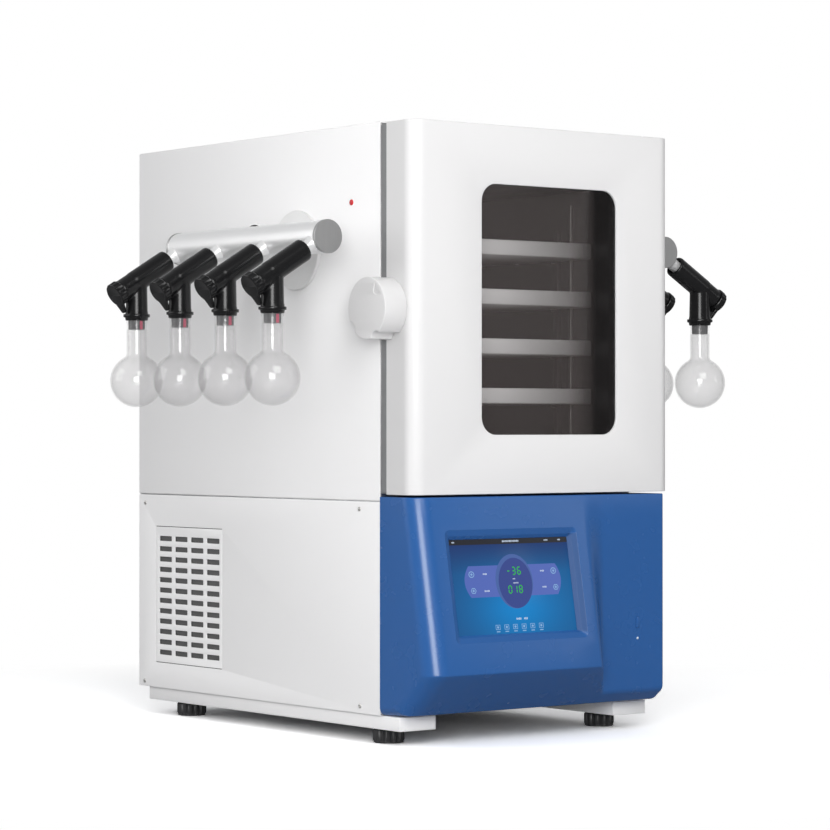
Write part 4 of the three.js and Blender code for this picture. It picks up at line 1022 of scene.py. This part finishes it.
black_enamel = enamel("black_enamel", (0.014, 0.014, 0.015), 0.34)
low, high, middle = box_of("compressor")
height = high.z - low.z
can = turned("compressor_can", [
    (0.0, 0.0), (0.0936, 0.0), (0.0940, 0.0006), (0.0940, 0.0034), (0.0930, 0.0040),
    (0.0800, 0.0046), (0.0778, 0.0080), (0.0776, 0.0960), (0.0780, 0.0966), (0.0780, 0.1030),
    (0.0776, 0.1036), (0.0770, 0.1500), (0.0750, 0.1600), (0.0700, 0.1700), (0.0620, 0.1790),
    (0.0520, 0.1850), (0.0380, 0.1885), (0.0200, height - 0.0002), (0.0, height)], 64, 40.0,
    place=(middle.x, middle.y, low.z))
seated(can, black_enamel, "compressor")

fin_metal, start = finish("fin_aluminium", (0.55, 0.56, 0.57), 0.42, 1.0)
surfaced(fin_metal, Roughness=0.34 + 0.2 * grain(start, 120.0, 3.0))
low, high, middle = box_of("condenser")
core_x, end_thick, fin_half, fin_count, pipe_count = low.x + 0.040, 0.002, 0.0002, 48, 6
fins = rounded_box(low, (core_x, low.y + end_thick, high.z), 0.0003, 1)
for k in range(1, fin_count):
    y = low.y + k * (high.y - low.y) / fin_count
    added(fins, rounded_box((low.x + 0.002, y - fin_half, low.z + 0.001),
                            (core_x - 0.002, y + fin_half, high.z - 0.001), 0.00005, 1))
added(fins, rounded_box((low.x, high.y - end_thick, low.z), (core_x, high.y, high.z), 0.0003, 1))
for z in (low.z, high.z - end_thick):
    added(fins, rounded_box((low.x, low.y, z), (core_x, high.y, z + end_thick), 0.0003, 1))
parts = [from_bmesh("fins", fins)]
for row in range(pipe_count):
    z = low.z + 0.025 + row * (high.z - low.z - 0.05) / (pipe_count - 1)
    length = high.y - low.y - 0.001
    parts.append(turned("pipe", [(0.0, 0.001), (0.0048, 0.001), (0.0048, length), (0.0, length)],
                        16, 35.0, (0, 1, 0), (low.x + 0.020, low.y, z)))
length = high.x - core_x
parts.append(turned("motor", [(0.0, 0.0), (0.0190, 0.0), (0.0200, 0.0020), (0.0200, 0.0280),
                              (0.0190, 0.0298), (0.0039, 0.0298), (0.0039, length),
                              (0.0, length)], 32, 35.0, (1, 0, 0), (core_x, middle.y, middle.z)))
parts.append(block("bracket", (core_x - 0.003, middle.y - 0.012, low.z + 0.002),
                   (core_x, middle.y + 0.012, high.z - 0.002), 0.0004, 1))
seated(joined("finned_condenser", parts), fin_metal, "condenser")

low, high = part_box("condenser_fan")
fan_middle = ((low.x + high.x) / 2, middle.y, middle.z)
blades, rows, steps, blade_root, blade_length, blade_half = 5, 8, 6, 0.0225, 0.071, 0.0006
fan_parts = [turned("hub", [(0.0044, -0.0078), (0.0200, -0.0078), (0.0228, -0.0066),
                            (0.0238, -0.0040), (0.0238, 0.0050), (0.0220, 0.0074),
                            (0.0180, 0.0079), (0.0044, 0.0079), (0.0044, -0.0078)], 48, 35.0,
                    (1, 0, 0), fan_middle)]
wide = steps + 1
border = (list(range(wide)) + [row * wide + steps for row in range(1, rows + 1)]
          + [rows * wide + step for step in range(steps - 1, -1, -1)]
          + [row * wide for row in range(rows - 1, 0, -1)])
for blade in range(blades):
    points = []
    for row in range(rows + 1):
        share = row / rows
        chord = 0.036 - 0.010 * share ** 2 + 0.004 * math.sin(math.pi * share)
        pitch = math.radians(32 - 10 * share)
        for step in range(wide):
            t = step / steps - 0.5
            camber = 0.0030 * (1 - 4 * t * t)
            points.append(Vector((t * chord * math.sin(pitch) + camber * math.cos(pitch),
                                  t * chord * math.cos(pitch) - camber * math.sin(pitch),
                                  blade_root + blade_length * share)))
    bm = bmesh.new()
    rear, front = [[bm.verts.new(point + Vector((offset, 0, 0))) for point in points]
                   for offset in (-blade_half, blade_half)]
    for a in [row * wide + step for row in range(rows) for step in range(steps)]:
        for face in (rear, front):
            bm.faces.new([face[a], face[a + 1], face[a + wide + 1], face[a + wide]])
    for here, after in zip(border, border[1:] + border[:1]):
        bm.faces.new([rear[here], rear[after], front[after], front[here]])
    vane = from_bmesh("blade", bm, 50.0)
    vane.data.transform(Matrix.Translation(fan_middle)
                        @ Matrix.Rotation(2 * math.pi * blade / blades, 4, "X"))
    fan_parts.append(vane)
seated(joined("bladed_fan", fan_parts, 50.0), black_enamel, "condenser_fan", "fan")

# ------------------------------------------------------------------ rear connections
# A moulded mains inlet with three flat pins, and the vacuum pump's stainless pipe, which ends
# in a small clamp flange.
seated(eased("mains_inlet", "power_inlet", 0.0008, 3), foot_nylon, "power_inlet")
low, high, middle = box_of("power_inlet")
pins, pin_wide, pin_high = bmesh.new(), 0.004, 0.002
for right, up in ((-0.007, -0.002), (0.0, 0.004), (0.007, -0.002)):
    x, z = middle.x + right, middle.z + up
    added(pins, rounded_box((x - pin_wide / 2, low.y + 0.0042, z - pin_high / 2),
                            (x + pin_wide / 2, high.y - 0.0035, z + pin_high / 2), 0.0003))
seated(from_bmesh("inlet_pins", pins), nickel)

length = pipe_high.y - pipe_low.y
port = turned("pump_pipe", [
    (0.0122, 0.0), (0.0140, 0.0), (0.0140, length - 0.0075), (0.0144, length - 0.0064),
    (0.0195, length - 0.0040), (0.0200, length - 0.0032), (0.0200, length - 0.0006),
    (0.0196, length), (0.0132, length), (0.0130, length - 0.0030), (0.0122, length - 0.0034),
    (0.0122, 0.0)], 56, 28.0, (0, 1, 0), (pipe_middle.x, pipe_low.y, pipe_middle.z))
seated(port, satin_across, "vacuum_port")

# ------------------------------------------------------------------ control console
# One blue moulding in front of the lower bay. Its sloped face swells forward to a nose and is
# cut back below it; past a soft valley on the right the face stays upright.


def between(start, axis, low, high, soft):
    """1 where the piece's own axis lies between low and high, and fading out over soft."""
    place, steep = start.own(axis), 1 / soft
    return start.maths("MINIMUM", (place - low) * steep, (high - place) * steep).clamped()


def moulded(name, colour, roughness, shine, matt_and_shaded_zone=(), painted_shade_tone=1.0):
    """Smooth gloss moulding with a very fine peel; in the zone given it is duller, and darker by
    painted shade.
    """
    material, start = finish(name, colour, roughness, Specular_IOR_Level=shine)
    tone = grain(start, 4.0, 1.0).blended(toned(colour, 0.988), toned(colour))
    gloss = roughness - 0.015 + 0.03 * grain(start, 30.0)
    if matt_and_shaded_zone:
        inside = 1.0
        for axis, low, high, soft in matt_and_shaded_zone:
            inside = between(start, axis, low, high, soft) * inside
        # Painted shade: inside the zone the colour is darkened to the given tone.
        tone = inside.blended(tone, toned(colour, painted_shade_tone))
        gloss = gloss + 0.30 * inside
    return surfaced(material, (grain(start, 150.0, 1.0), 0.00001, 0.3),
                    Base_Color=tone, Roughness=gloss)


def filleted(corners, radii, steps=5):
    """A closed outline with its corners rounded, always with the same count of points."""
    line = []
    for k, corner in enumerate(corners):
        here, before = Vector(corner), Vector(corners[k - 1])
        after = Vector(corners[(k + 1) % len(corners)])
        back, ahead = before - here, after - here
        half = back.angle(ahead) / 2
        reach = min(radii[k] / math.tan(half), 0.45 * min(back.length, ahead.length))
        back, ahead = back.normalized(), ahead.normalized()
        centre = here + (back + ahead).normalized() * (reach / math.cos(half))
        first, last = here + back * reach - centre, here + ahead * reach - centre
        swing = math.pi - 2 * half
        for step in range(steps + 1):
            share = step / steps
            line.append(centre + (first * math.sin((1 - share) * swing)
                                  + last * math.sin(share * swing)) / math.sin(swing))
    return line


def cut_out(bm, cutters):
    """The bmesh with each of the cutters taken out of it."""
    tools = [from_bmesh("cutter", cutter) for cutter in cutters]
    for tool in tools:
        bpy.context.scene.collection.objects.link(tool)
    mesh = settled(from_bmesh("blank", bm), *[
        ("BOOLEAN", {"operation": "DIFFERENCE", "solver": "EXACT", "object": tool})
        for tool in tools])
    for tool in tools:
        bpy.data.objects.remove(tool)
    bm = bmesh.new()
    bm.from_mesh(mesh)
    bpy.data.meshes.remove(mesh)
    bmesh.ops.remove_doubles(bm, verts=bm.verts, dist=1e-6)
    return bm


console_low, console_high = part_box("console_cover")
half_width, console_back = console_high.x, console_high.y
nose_y, top_y, chin_y, nose_z, chin_z = console_low.y, -0.3813, -0.3633, 0.1140, 0.0490
plan_radius, skirt_radius = {-1: 0.032, 1: 0.006}, 0.012
bulge_end, valley_end = 0.078, 0.128
undercut = (nose_z - chin_z) / (chin_y - nose_y)


def console_section(x, rounding):
    """The outline in Y and Z at a given x; rounding is how far round its own corner it is."""
    share = min(1.0, max(0.0, (x - bulge_end) / (valley_end - bulge_end)))
    swell = 1.0 - share * share * (3.0 - 2.0 * share)
    setback = plan_radius[1 if x > 0 else -1] * (1.0 - math.sin(rounding))
    nose = top_y - (top_y - nose_y) * swell
    inward = max(0.0, skirt_radius - (half_width - abs(x)))
    lift = skirt_radius - math.sqrt(skirt_radius ** 2 - inward ** 2)
    corners = [(console_back, console_high.z), (top_y + setback, console_high.z),
               (nose + setback, chin_z + (chin_y - nose) * undercut),
               (chin_y + setback, chin_z + lift), (console_back, console_low.z + lift)]
    outline = filleted(corners, [0.0008, 0.0022, 0.0035 + 0.0100 * share,
                                 0.0060 + 0.0040 * share, 0.0010])
    for at in (23, 17, 11):  # the long faces get more points along them
        start, end = outline[at], outline[at + 1]
        outline[at + 1:at + 1] = [start.lerp(end, k / 8) for k in range(1, 8)]
    return [(x, point.x, point.y) for point in outline]


left_corner, right_corner = [
    [console_section(side * (half_width - plan_radius[side] * (1 - math.cos(rounding))), rounding)
     for rounding in [math.radians(90) * step / 16 for step in range(17)]] for side in (-1, 1)]
face_x = ([-0.12, 0.0] + [bulge_end + (valley_end - bulge_end) * k / 12 for k in range(13)]
          + [half_width - inset for inset in (0.0125, 0.0105, 0.0085, 0.0070)])
body = lofted(left_corner + [console_section(x, math.radians(90)) for x in face_x]
              + right_corner[::-1])

tilt = math.atan2(top_y - nose_y, console_high.z - nose_z)
screen_frame = Matrix.Translation((-0.0725, -0.4061, 0.2475)) @ Matrix.Rotation(-tilt, 4, "X")
screen_width, screen_height, screen_depth = 0.238, 0.149, 0.010
pocket = []
for margin, depth, radius in ((0.0178, -0.0040, 0.0120), (0.0134, 0.0000, 0.0085),
                              (0.0124, 0.0005, 0.0078), (0.0116, 0.0010, 0.0072),
                              (0.0052, 0.0034, 0.0040), (0.0036, 0.0046, 0.0030),
                              (0.0003, 0.0098, 0.0012), (0.0, 0.0100, 0.0010),
                              (0.0, 0.0185, 0.0010)):
    outline = rounded_outline(screen_width + 2 * margin, screen_height + 2 * margin, radius,
                              steps=8)
    pocket.append([screen_frame @ Vector((x, depth, z)) for x, z in outline])
port_hatch = rounded_box((0.1953, -0.3830, 0.1680), (0.2033, -0.3805, 0.1860), 0.0010, 2)
# Painted shade on the pocket's right wall, which is also rougher: its blue is darkened to 0.72.
pocket_wall_shade = (("X", 0.0458, 0.0600, 0.0006), ("Z", 0.1690, 0.3260, 0.0030))
blue_gloss = moulded("blue_moulding", (0.020, 0.106, 0.335), 0.27, 0.50, pocket_wall_shade, 0.72)
cover = from_bmesh("console_moulding", cut_out(body, [lofted(pocket), port_hatch]), 24.0)
seated(cover, blue_gloss, "console_cover")
seated(block("service_port_cover", (0.1957, -0.3822, 0.1684), (0.2029, -0.3807, 0.1856), 0.0006),
       blue_gloss)
lens, start = finish("indicator_lens", (0.62, 0.70, 0.80), 0.12, Coat_Weight=0.6)
surfaced(lens, Roughness=0.10 + 0.08 * grain(start, 900.0))
dot = turned("indicator", [(0.0, 0.0), (0.0022, 0.0), (0.0021, 0.0005), (0.0014, 0.0010),
                           (0.0, 0.0012)], 24, 60.0, (0, -1, 0), (0.1993, top_y + 0.0001, 0.1515))
seated(dot, lens)

# ------------------------------------------------------------------ touch screen
# A glass-fronted display panel in the console's pocket. What it shows is drawn with plain
# shapes: a status bar, a dial with two rows of digits, side plates and a row of symbols.


def glow(name, colour):
    """One colour of the lit display under its glass, with the panel's fine rows of dots."""
    material, start = finish(name, (0.01, 0.01, 0.012), 0.22, Specular_IOR_Level=0.15,
                             Emission_Strength=1.0)
    rows = 0.5 + 0.5 * start.maths("SINE", start.own("Z") * 9000.0)
    return surfaced(material, Emission_Color=rows.blended(toned(colour, 0.88), toned(colour)))


def display_ground(name):
    """The display's ground: deep blue, with an azure light low in the middle."""
    material, start = finish(name, (0.008, 0.010, 0.016), 0.20, Specular_IOR_Level=0.15,
                             Emission_Strength=1.0)
    across, rise = start.own("X"), start.own("Z")
    right, up = (across - 0.006) * (1 / 0.105), (rise + 0.036) * (1 / 0.066)
    light = start.maths("DIVIDE", 1.0, 1.0 + 1.5 * (right * right + up * up))
    deep = (0.5 + 3.2 * across).blended((0.012, 0.045, 0.150, 1.0), (0.010, 0.070, 0.200, 1.0))
    lit = light.blended(deep, (0.005, 0.215, 0.560, 1.0))
    top = ((rise - 0.020) * (1 / 0.055)).clamped()
    return surfaced(material, Emission_Color=top.blended(lit, (0.014, 0.030, 0.130, 1.0)))


def display_layer(name, groups, level, material):
    """Flat shapes of one colour that stand a hair in front of the display's glass.

    Their outlines are in millimetres from the top left corner of the screen.
    """
    bm = bmesh.new()
    for outlines in groups:
        outlines = [[(u / 1000 - screen_width / 2, screen_height / 2 - v / 1000)
                     for u, v in outline] for outline in outlines]
        added(bm, cut_sheet(outlines, 0.00006, 0.0, (0, screen_depth - 0.00012 * level, 0)))
    piece = from_bmesh(name, bm)
    piece.matrix_world = screen_frame
    seated(piece, material)


def oblong(u, v, across, high):
    """A small rectangle about a point."""
    return rounded_outline(across, high, 0.0, (u, v))


def side_plate(inner, outer, corner, top=42.0, high=49.0):
    """A plate that bulges out to its end, as an arc between its two outer corners."""
    arc = [(corner + (outer - corner) * (1 - (2 * k / 12 - 1) ** 2), top + high * k / 12)
           for k in range(13)]
    return [(inner, top)] + arc + [(inner, top + high)]


def segment_digit(figure, u, v, across=5.6, high=11.2, stroke=1.8):
    """The lit bars of one seven-segment figure, as oblongs about u and v."""
    flat_bar, upright_bar = (across - stroke * 0.9, stroke), (stroke, high / 2 - stroke * 0.7)
    bars = {"top": (0, -high / 2, *flat_bar), "middle": (0, 0, *flat_bar),
            "bottom": (0, high / 2, *flat_bar)}
    for side, x in (("left", -across / 2), ("right", across / 2)):
        bars[f"upper {side}"] = (x, -high / 4, *upright_bar)
        bars[f"lower {side}"] = (x, high / 4, *upright_bar)
    dark = {"-": ("top", "bottom", "upper left", "upper right", "lower left", "lower right"),
            "0": ("middle",), "1": ("top", "middle", "bottom", "upper left", "lower left"),
            "3": ("upper left", "lower left"), "6": ("upper right",), "8": ()}[figure]
    return [[oblong(u + x, v + y, *size)] for bar, (x, y, *size) in bars.items()
            if bar not in dark]


def short_line(u, v, count, pitch, high):
    """A line of small upright marks, as a stand-in for small print."""
    return [[oblong(u + (k - (count - 1) / 2) * pitch, v, pitch * 0.62,
                    high * (0.72 + 0.28 * ((k * 5 + count) % 3) / 2))] for k in range(count)]


half_across, half_high = screen_width / 2 - 0.0003, screen_height / 2 - 0.0003
panel = block("display_panel", (-half_across, screen_depth, -half_high),
              (half_across, screen_depth + 0.008, half_high), 0.0004)
panel.matrix_world = screen_frame
seated(panel, display_ground("display_ground"), "touch_screen")
display_layer("status_bar", [[oblong(119.0, 4.6, 237.2, 8.4)]], 1,
              glow("display_black", (0.012, 0.013, 0.018)))
display_layer("side_plates",
              [[side_plate(98.0, 23.0, 33.0)], [side_plate(146.0, 216.5, 207.5)]], 1,
              glow("display_violet", (0.085, 0.140, 0.480)))
display_layer("dial_rim", [[oval(74.5, 85.5, (121.5, 67.8), 72)]], 2,
              glow("display_slate", (0.060, 0.125, 0.370)))
display_layer("dial", [[oval(67.0, 79.0, (123.5, 70.5), 72)]], 3,
              glow("display_indigo", (0.032, 0.060, 0.260)))
figures = []
for row, v in (("-36", 51.5), ("018", 80.5)):
    for k, figure in enumerate(row):
        figures += segment_digit(figure, 111.5 + 10.6 * k, v)
display_layer("dial_digits", figures, 4, glow("display_green", (0.030, 0.480, 0.045)))
marks = []
for u, v, count, pitch, high in (
        (121.0, 64.0, 3, 1.8, 2.0), (124.0, 70.5, 6, 1.8, 2.0), (122.0, 126.6, 4, 2.6, 3.4),
        (136.0, 126.6, 3, 2.6, 3.4), (8.0, 4.6, 3, 1.9, 2.6), (122.0, 4.6, 14, 2.4, 3.0),
        (194.0, 4.6, 4, 2.0, 2.4), (221.0, 4.6, 3, 1.9, 2.4), (64.0, 55.0, 4, 2.1, 2.8),
        (65.0, 81.5, 5, 2.1, 2.8), (179.5, 53.0, 4, 2.1, 2.8), (181.0, 78.5, 4, 2.1, 2.8)):
    marks += short_line(u, v, count, pitch, high)
display_layer("small_print", marks, 4, glow("display_white", (0.62, 0.72, 0.88)))
symbols = []
for u, v, sides in ((37.5, 55.0, 24), (38.5, 80.5, 6), (202.5, 53.5, 24), (204.0, 79.5, 6)):
    symbols += [[oval(11.0, 10.0, (u, v), sides), oval(8.6, 7.6, (u, v), sides)[::-1]],
                [oblong(u, v, 4.4, 1.4)], [oblong(u, v, 1.4, 4.4)]]
for k in range(6):
    u = 78.5 + 17.4 * k
    symbols += [[oblong(u, 138.6, 9.0, 7.6), oblong(u, 138.6, 7.4, 6.0)[::-1]],
                [oval(4.0, 3.6, (u, 138.6), 12)], [oblong(u, 145.4, 7.0, 1.5)]]
display_layer("display_symbols", symbols, 4, glow("display_pale_blue", (0.26, 0.46, 0.74)))

# ------------------------------------------------------------------ door seal and frame
# A grey rubber section, mitred into a ring, seals the door on the mouth frame. Behind the
# moulding a black steel plate carries it, with a collar that clamps the window and two ears.


def ring_rubber(name, colour, roughness):
    """Extruded grey rubber: fine lines along its run, and a slight dusty bloom."""
    material, start = finish(name, colour, roughness, Specular_IOR_Level=0.3)
    tone = grain(start, 55.0, 4.0).blended(toned(colour, 0.90), toned(colour, 1.08))
    return surfaced(material, (grain(start, 1400.0, 2.0, (1.0, 1.0, 0.05)), 0.00006, 0.6),
                    Base_Color=tone)


low, high, middle = box_of("door_seal")
wide, tall, deep = high.x - low.x, high.z - low.z, high.y - low.y


def seal_loop(outer, inner, radius, depth, edge):
    """A flat ring of the seal's section, from one inset of its outline to another."""
    return cut_sheet([rounded_outline(wide - 2 * inset, tall - 2 * inset, radius)
                      for inset in (outer, inner)], depth, edge, middle)


seal = seal_loop(0.0, 0.018, 0.004, deep - 0.0012, 0.0020)
for lip in (0.0035, 0.0105):
    added(seal, seal_loop(lip, lip + 0.0030, 0.003, deep, 0.0008))
seated(from_bmesh("seal_ring", seal, 30.0),
       ring_rubber("seal_rubber", (0.215, 0.218, 0.222), 0.55), "door_seal", "door")

window_x, window_z, window_width, window_height = 0.0173, 0.6760, 0.2778, 0.3910
window_radius, door_rear = 0.028, -0.3126


def window_outline(margin):
    """The window's rounded outline, grown by a margin, about the middle of the window."""
    return rounded_outline(window_width + 2 * margin, window_height + 2 * margin, window_radius,
                           (window_x, 0.0), 10)


def door_slab(outlines, front, rear, edge):
    """Sheet cut to outlines about the window's height, between two depths."""
    return cut_sheet(outlines, rear - front, edge, (0, (front + rear) / 2, window_z))


black_coat = enamel("black_coat", (0.020, 0.020, 0.021), 0.42)
shell_low, shell_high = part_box("door_shell")
plate_inset, plate_left, plate_front, collar_front = 0.0043, -0.2448, door_rear - 0.005, -0.3497
plate_right = shell_high.x - plate_inset
plate_line = rounded_outline(plate_right - plate_left,
                             shell_high.z - shell_low.z - 2 * plate_inset, 0.001,
                             ((plate_left + plate_right) / 2, 0.0))
plate = door_slab([plate_line, window_outline(0.009)], plate_front, door_rear, 0.0006)
added(plate, door_slab([window_outline(0.017), window_outline(0.009)],
                       collar_front, plate_front + 0.0005, 0.0008))
hinge_x, hinge_y, hinge_levels, ear, knuckle = 0.2662, -0.3038, (0.4680, 0.8840), 0.005, 0.028
parts = [from_bmesh("plate", plate)]
for z in hinge_levels:
    parts.append(block("lug", (hinge_x - ear / 2, plate_front + 0.001, z),
                       (hinge_x + ear / 2, hinge_y - 0.0055, z + knuckle), 0.0006))
    parts.append(turned("knuckle", [
        (0.0038, 0.0), (0.0066, 0.0), (0.0070, 0.0004), (0.0070, knuckle - 0.0004),
        (0.0066, knuckle), (0.0038, knuckle), (0.0038, 0.0)], 40, 35.0, (0, 0, 1),
        (hinge_x, hinge_y, z)))
seated(joined("door_plate", parts), black_coat, "door_frame", "door")

# ------------------------------------------------------------------ window pane
# A thick, lightly smoked pane with polished edges. Towards the right it is painted near black
# and less clear: painted shade for the dark reveal of the door behind it. It is clamped
# between the moulding and the collar of the frame, just behind the moulding's front.
smoked, start = finish("smoked_pane", (0.22, 0.190, 0.185), 0.04, Alpha=0.12,
                       Specular_IOR_Level=0.3)
# Painted shade: towards the right the pane turns darker and more opaque.
painted_shade_band = between(start, "X", 0.078, 0.200, 0.036)
surfaced(smoked, (grain(start, 14.0, 1.0), 0.0002, 0.15),
         Base_Color=painted_shade_band.blended((0.22, 0.190, 0.185, 1.0), (0.014, 0.012, 0.012, 1.0)),
         Alpha=0.11 + 0.03 * grain(start, 9.0, 3.0) + 0.34 * painted_shade_band)
pane = from_bmesh("window_pane", door_slab([window_outline(0.014)], -0.3750, -0.3500, 0.0008))
seated(pane, smoked, "door_window", "door")

# ------------------------------------------------------------------ door moulding
# A deep white moulded tray, open to the rear. Its two upright front corners have a 24 mm
# radius, its other edges are just broken, and the window opening has a fine rolled lip.
door_wall, door_radius, edge_radius = 0.004, 0.024, 0.0014
door_left, door_right, door_front = shell_low.x, shell_high.x, shell_low.y


def door_plan(inset, rear, z, steps=14):
    """The tray's plan at a height: square at the rear, round at both front corners."""
    radius = door_radius - inset
    line = [(door_right - inset, rear, z), (door_left + inset, rear, z)]
    for centre, first in ((door_left + door_radius, 180), (door_right - door_radius, 270)):
        for step in range(steps + 1):
            angle = math.radians(first + 90 * step / steps)
            line.append((centre + radius * math.cos(angle),
                         door_front + door_radius + radius * math.sin(angle), z))
    return line


rim_steps = [(edge_radius * (1 - math.sin(angle)), edge_radius * (1 - math.cos(angle)))
             for angle in map(math.radians, (0, 30, 60, 90))]
tray = lofted([door_plan(inset, door_rear, shell_low.z + lift) for inset, lift in rim_steps]
              + [door_plan(inset, door_rear, shell_high.z - lift)
                 for inset, lift in reversed(rim_steps)])
hollow = lofted([door_plan(door_wall, door_rear + 0.002, z)
                 for z in (shell_low.z + door_wall, shell_high.z - door_wall)])
opening = lofted([
    [(x, door_front + depth, window_z + z) for x, z in window_outline(margin)]
    for margin, depth in ((0.0030, -0.0010), (0.0012, 0.0), (0.0006, 0.0002), (0.0002, 0.0006),
                          (0.0, 0.0012), (0.0, 0.006))])
latch_y, latch_z, spindle_radius = -0.3176, 0.6750, 0.0038
spindle_hole = bmesh.new()
bmesh.ops.create_cone(spindle_hole, cap_ends=True, segments=32, radius1=spindle_radius,
                      radius2=spindle_radius, depth=0.02)
spindle_hole.transform(about((1, 0, 0), (door_left, latch_y, latch_z)))
# Painted shade on the door's left flank, which is also rougher: its white is darkened to 0.86.
door_flank_shade = (("X", door_left - 0.010, door_left + 0.0030, 0.0030),)
white_gloss = moulded("white_moulding", (0.800, 0.795, 0.795), 0.30, 0.32, door_flank_shade, 0.86)
door_tray = from_bmesh("door_moulding", cut_out(tray, [hollow, opening, spindle_hole]), 28.0)
seated(door_tray, white_gloss, "door_shell", "door")

# ------------------------------------------------------------------ hinges
# Two stainless hinges on the right. The casing's half is a leaf with a knuckle and an upright
# pin, held by two screws; the ears of the door's frame drop onto the pins.
leaf_face, gap = 0.2615, 0.0003
for name, z in zip(("lower", "upper"), hinge_levels):
    leaf = block("leaf", (0.2575, hinge_y, z - knuckle), (leaf_face, -0.2493, z - gap), 0.0006)
    web = block("web", (0.2595, hinge_y - 0.004, z - knuckle),
                (hinge_x - 0.003, hinge_y + 0.006, z - gap), 0.0006)
    pin = turned("pin", [
        (0.0, -knuckle), (0.0066, -knuckle), (0.0070, 0.0004 - knuckle), (0.0070, -0.0007),
        (0.0066, -gap), (0.0035, -gap), (0.0035, knuckle - 0.0012), (0.0028, knuckle),
        (0.0, knuckle)], 40, 35.0, (0, 0, 1), (hinge_x, hinge_y, z))
    seated(joined(f"hinge_half_{name}", [leaf, web, pin]), satin_upright,
           f"door_hinge_{name}")
    for number, y in enumerate((-0.2830, -0.2610), 1):
        screwed(f"hinge_screw_{name}_{number}", (leaf_face, y, z - knuckle / 2), (1, 0, 0),
                0.5 * number)

# ------------------------------------------------------------------ latch knob
# A deep white moulded disc that turns on a spindle in the door's flank and laps over the
# casing. Two finger scoops are cut right through its rim, and a pointer into its face.
latch_radius, scoop_radius, scoop_out = 0.048, 0.013, 0.054
scoop_angles, rim_points = (218, 296), 360
latch_seat, latch_face = door_left - 0.0003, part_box("door_latch_knob")[0].x
rim_line = []
for k in range(rim_points):
    angle = 2 * math.pi * k / rim_points
    reach = latch_radius
    for scoop in scoop_angles:
        off = angle - math.radians(scoop)
        aside = scoop_out * math.sin(off)
        if math.cos(off) > 0 and abs(aside) < scoop_radius:
            near = scoop_out * math.cos(off) - math.sqrt(scoop_radius ** 2 - aside ** 2)
            reach = min(reach, near)
    rim_line.append((reach * math.cos(angle), reach * math.sin(angle)))
drum = cut_sheet([rim_line], latch_seat - latch_face, 0.0016,
                 ((latch_face + latch_seat) / 2, latch_y, latch_z), (0, -1, 0))
pointer = cut_sheet([[(0.0150, 0.0250), (0.0185, 0.0380), (0.0215, 0.0380), (0.0250, 0.0270),
                      (0.0330, 0.0235), (0.0330, 0.0205), (0.0235, 0.0195), (0.0180, 0.0210)]],
                    0.0024, 0.0004, (latch_face, latch_y - 0.0020, latch_z), (0, -1, 0))
shank = turned("shank", [(0.0, -0.001), (0.0034, -0.001), (0.0034, 0.0045), (0.0048, 0.0046),
                         (0.0048, 0.0084), (0.0034, 0.0085), (0.0, 0.0085)], 24, 35.0,
               (1, 0, 0), (latch_seat, latch_y, latch_z))
latch = joined("latch_disc", [from_bmesh("drum", cut_out(drum, [pointer])), shank])
latch_white = moulded("latch_moulding", (0.74, 0.735, 0.735), 0.36, 0.35)
seated(latch, latch_white, "door_latch_knob", "latch")
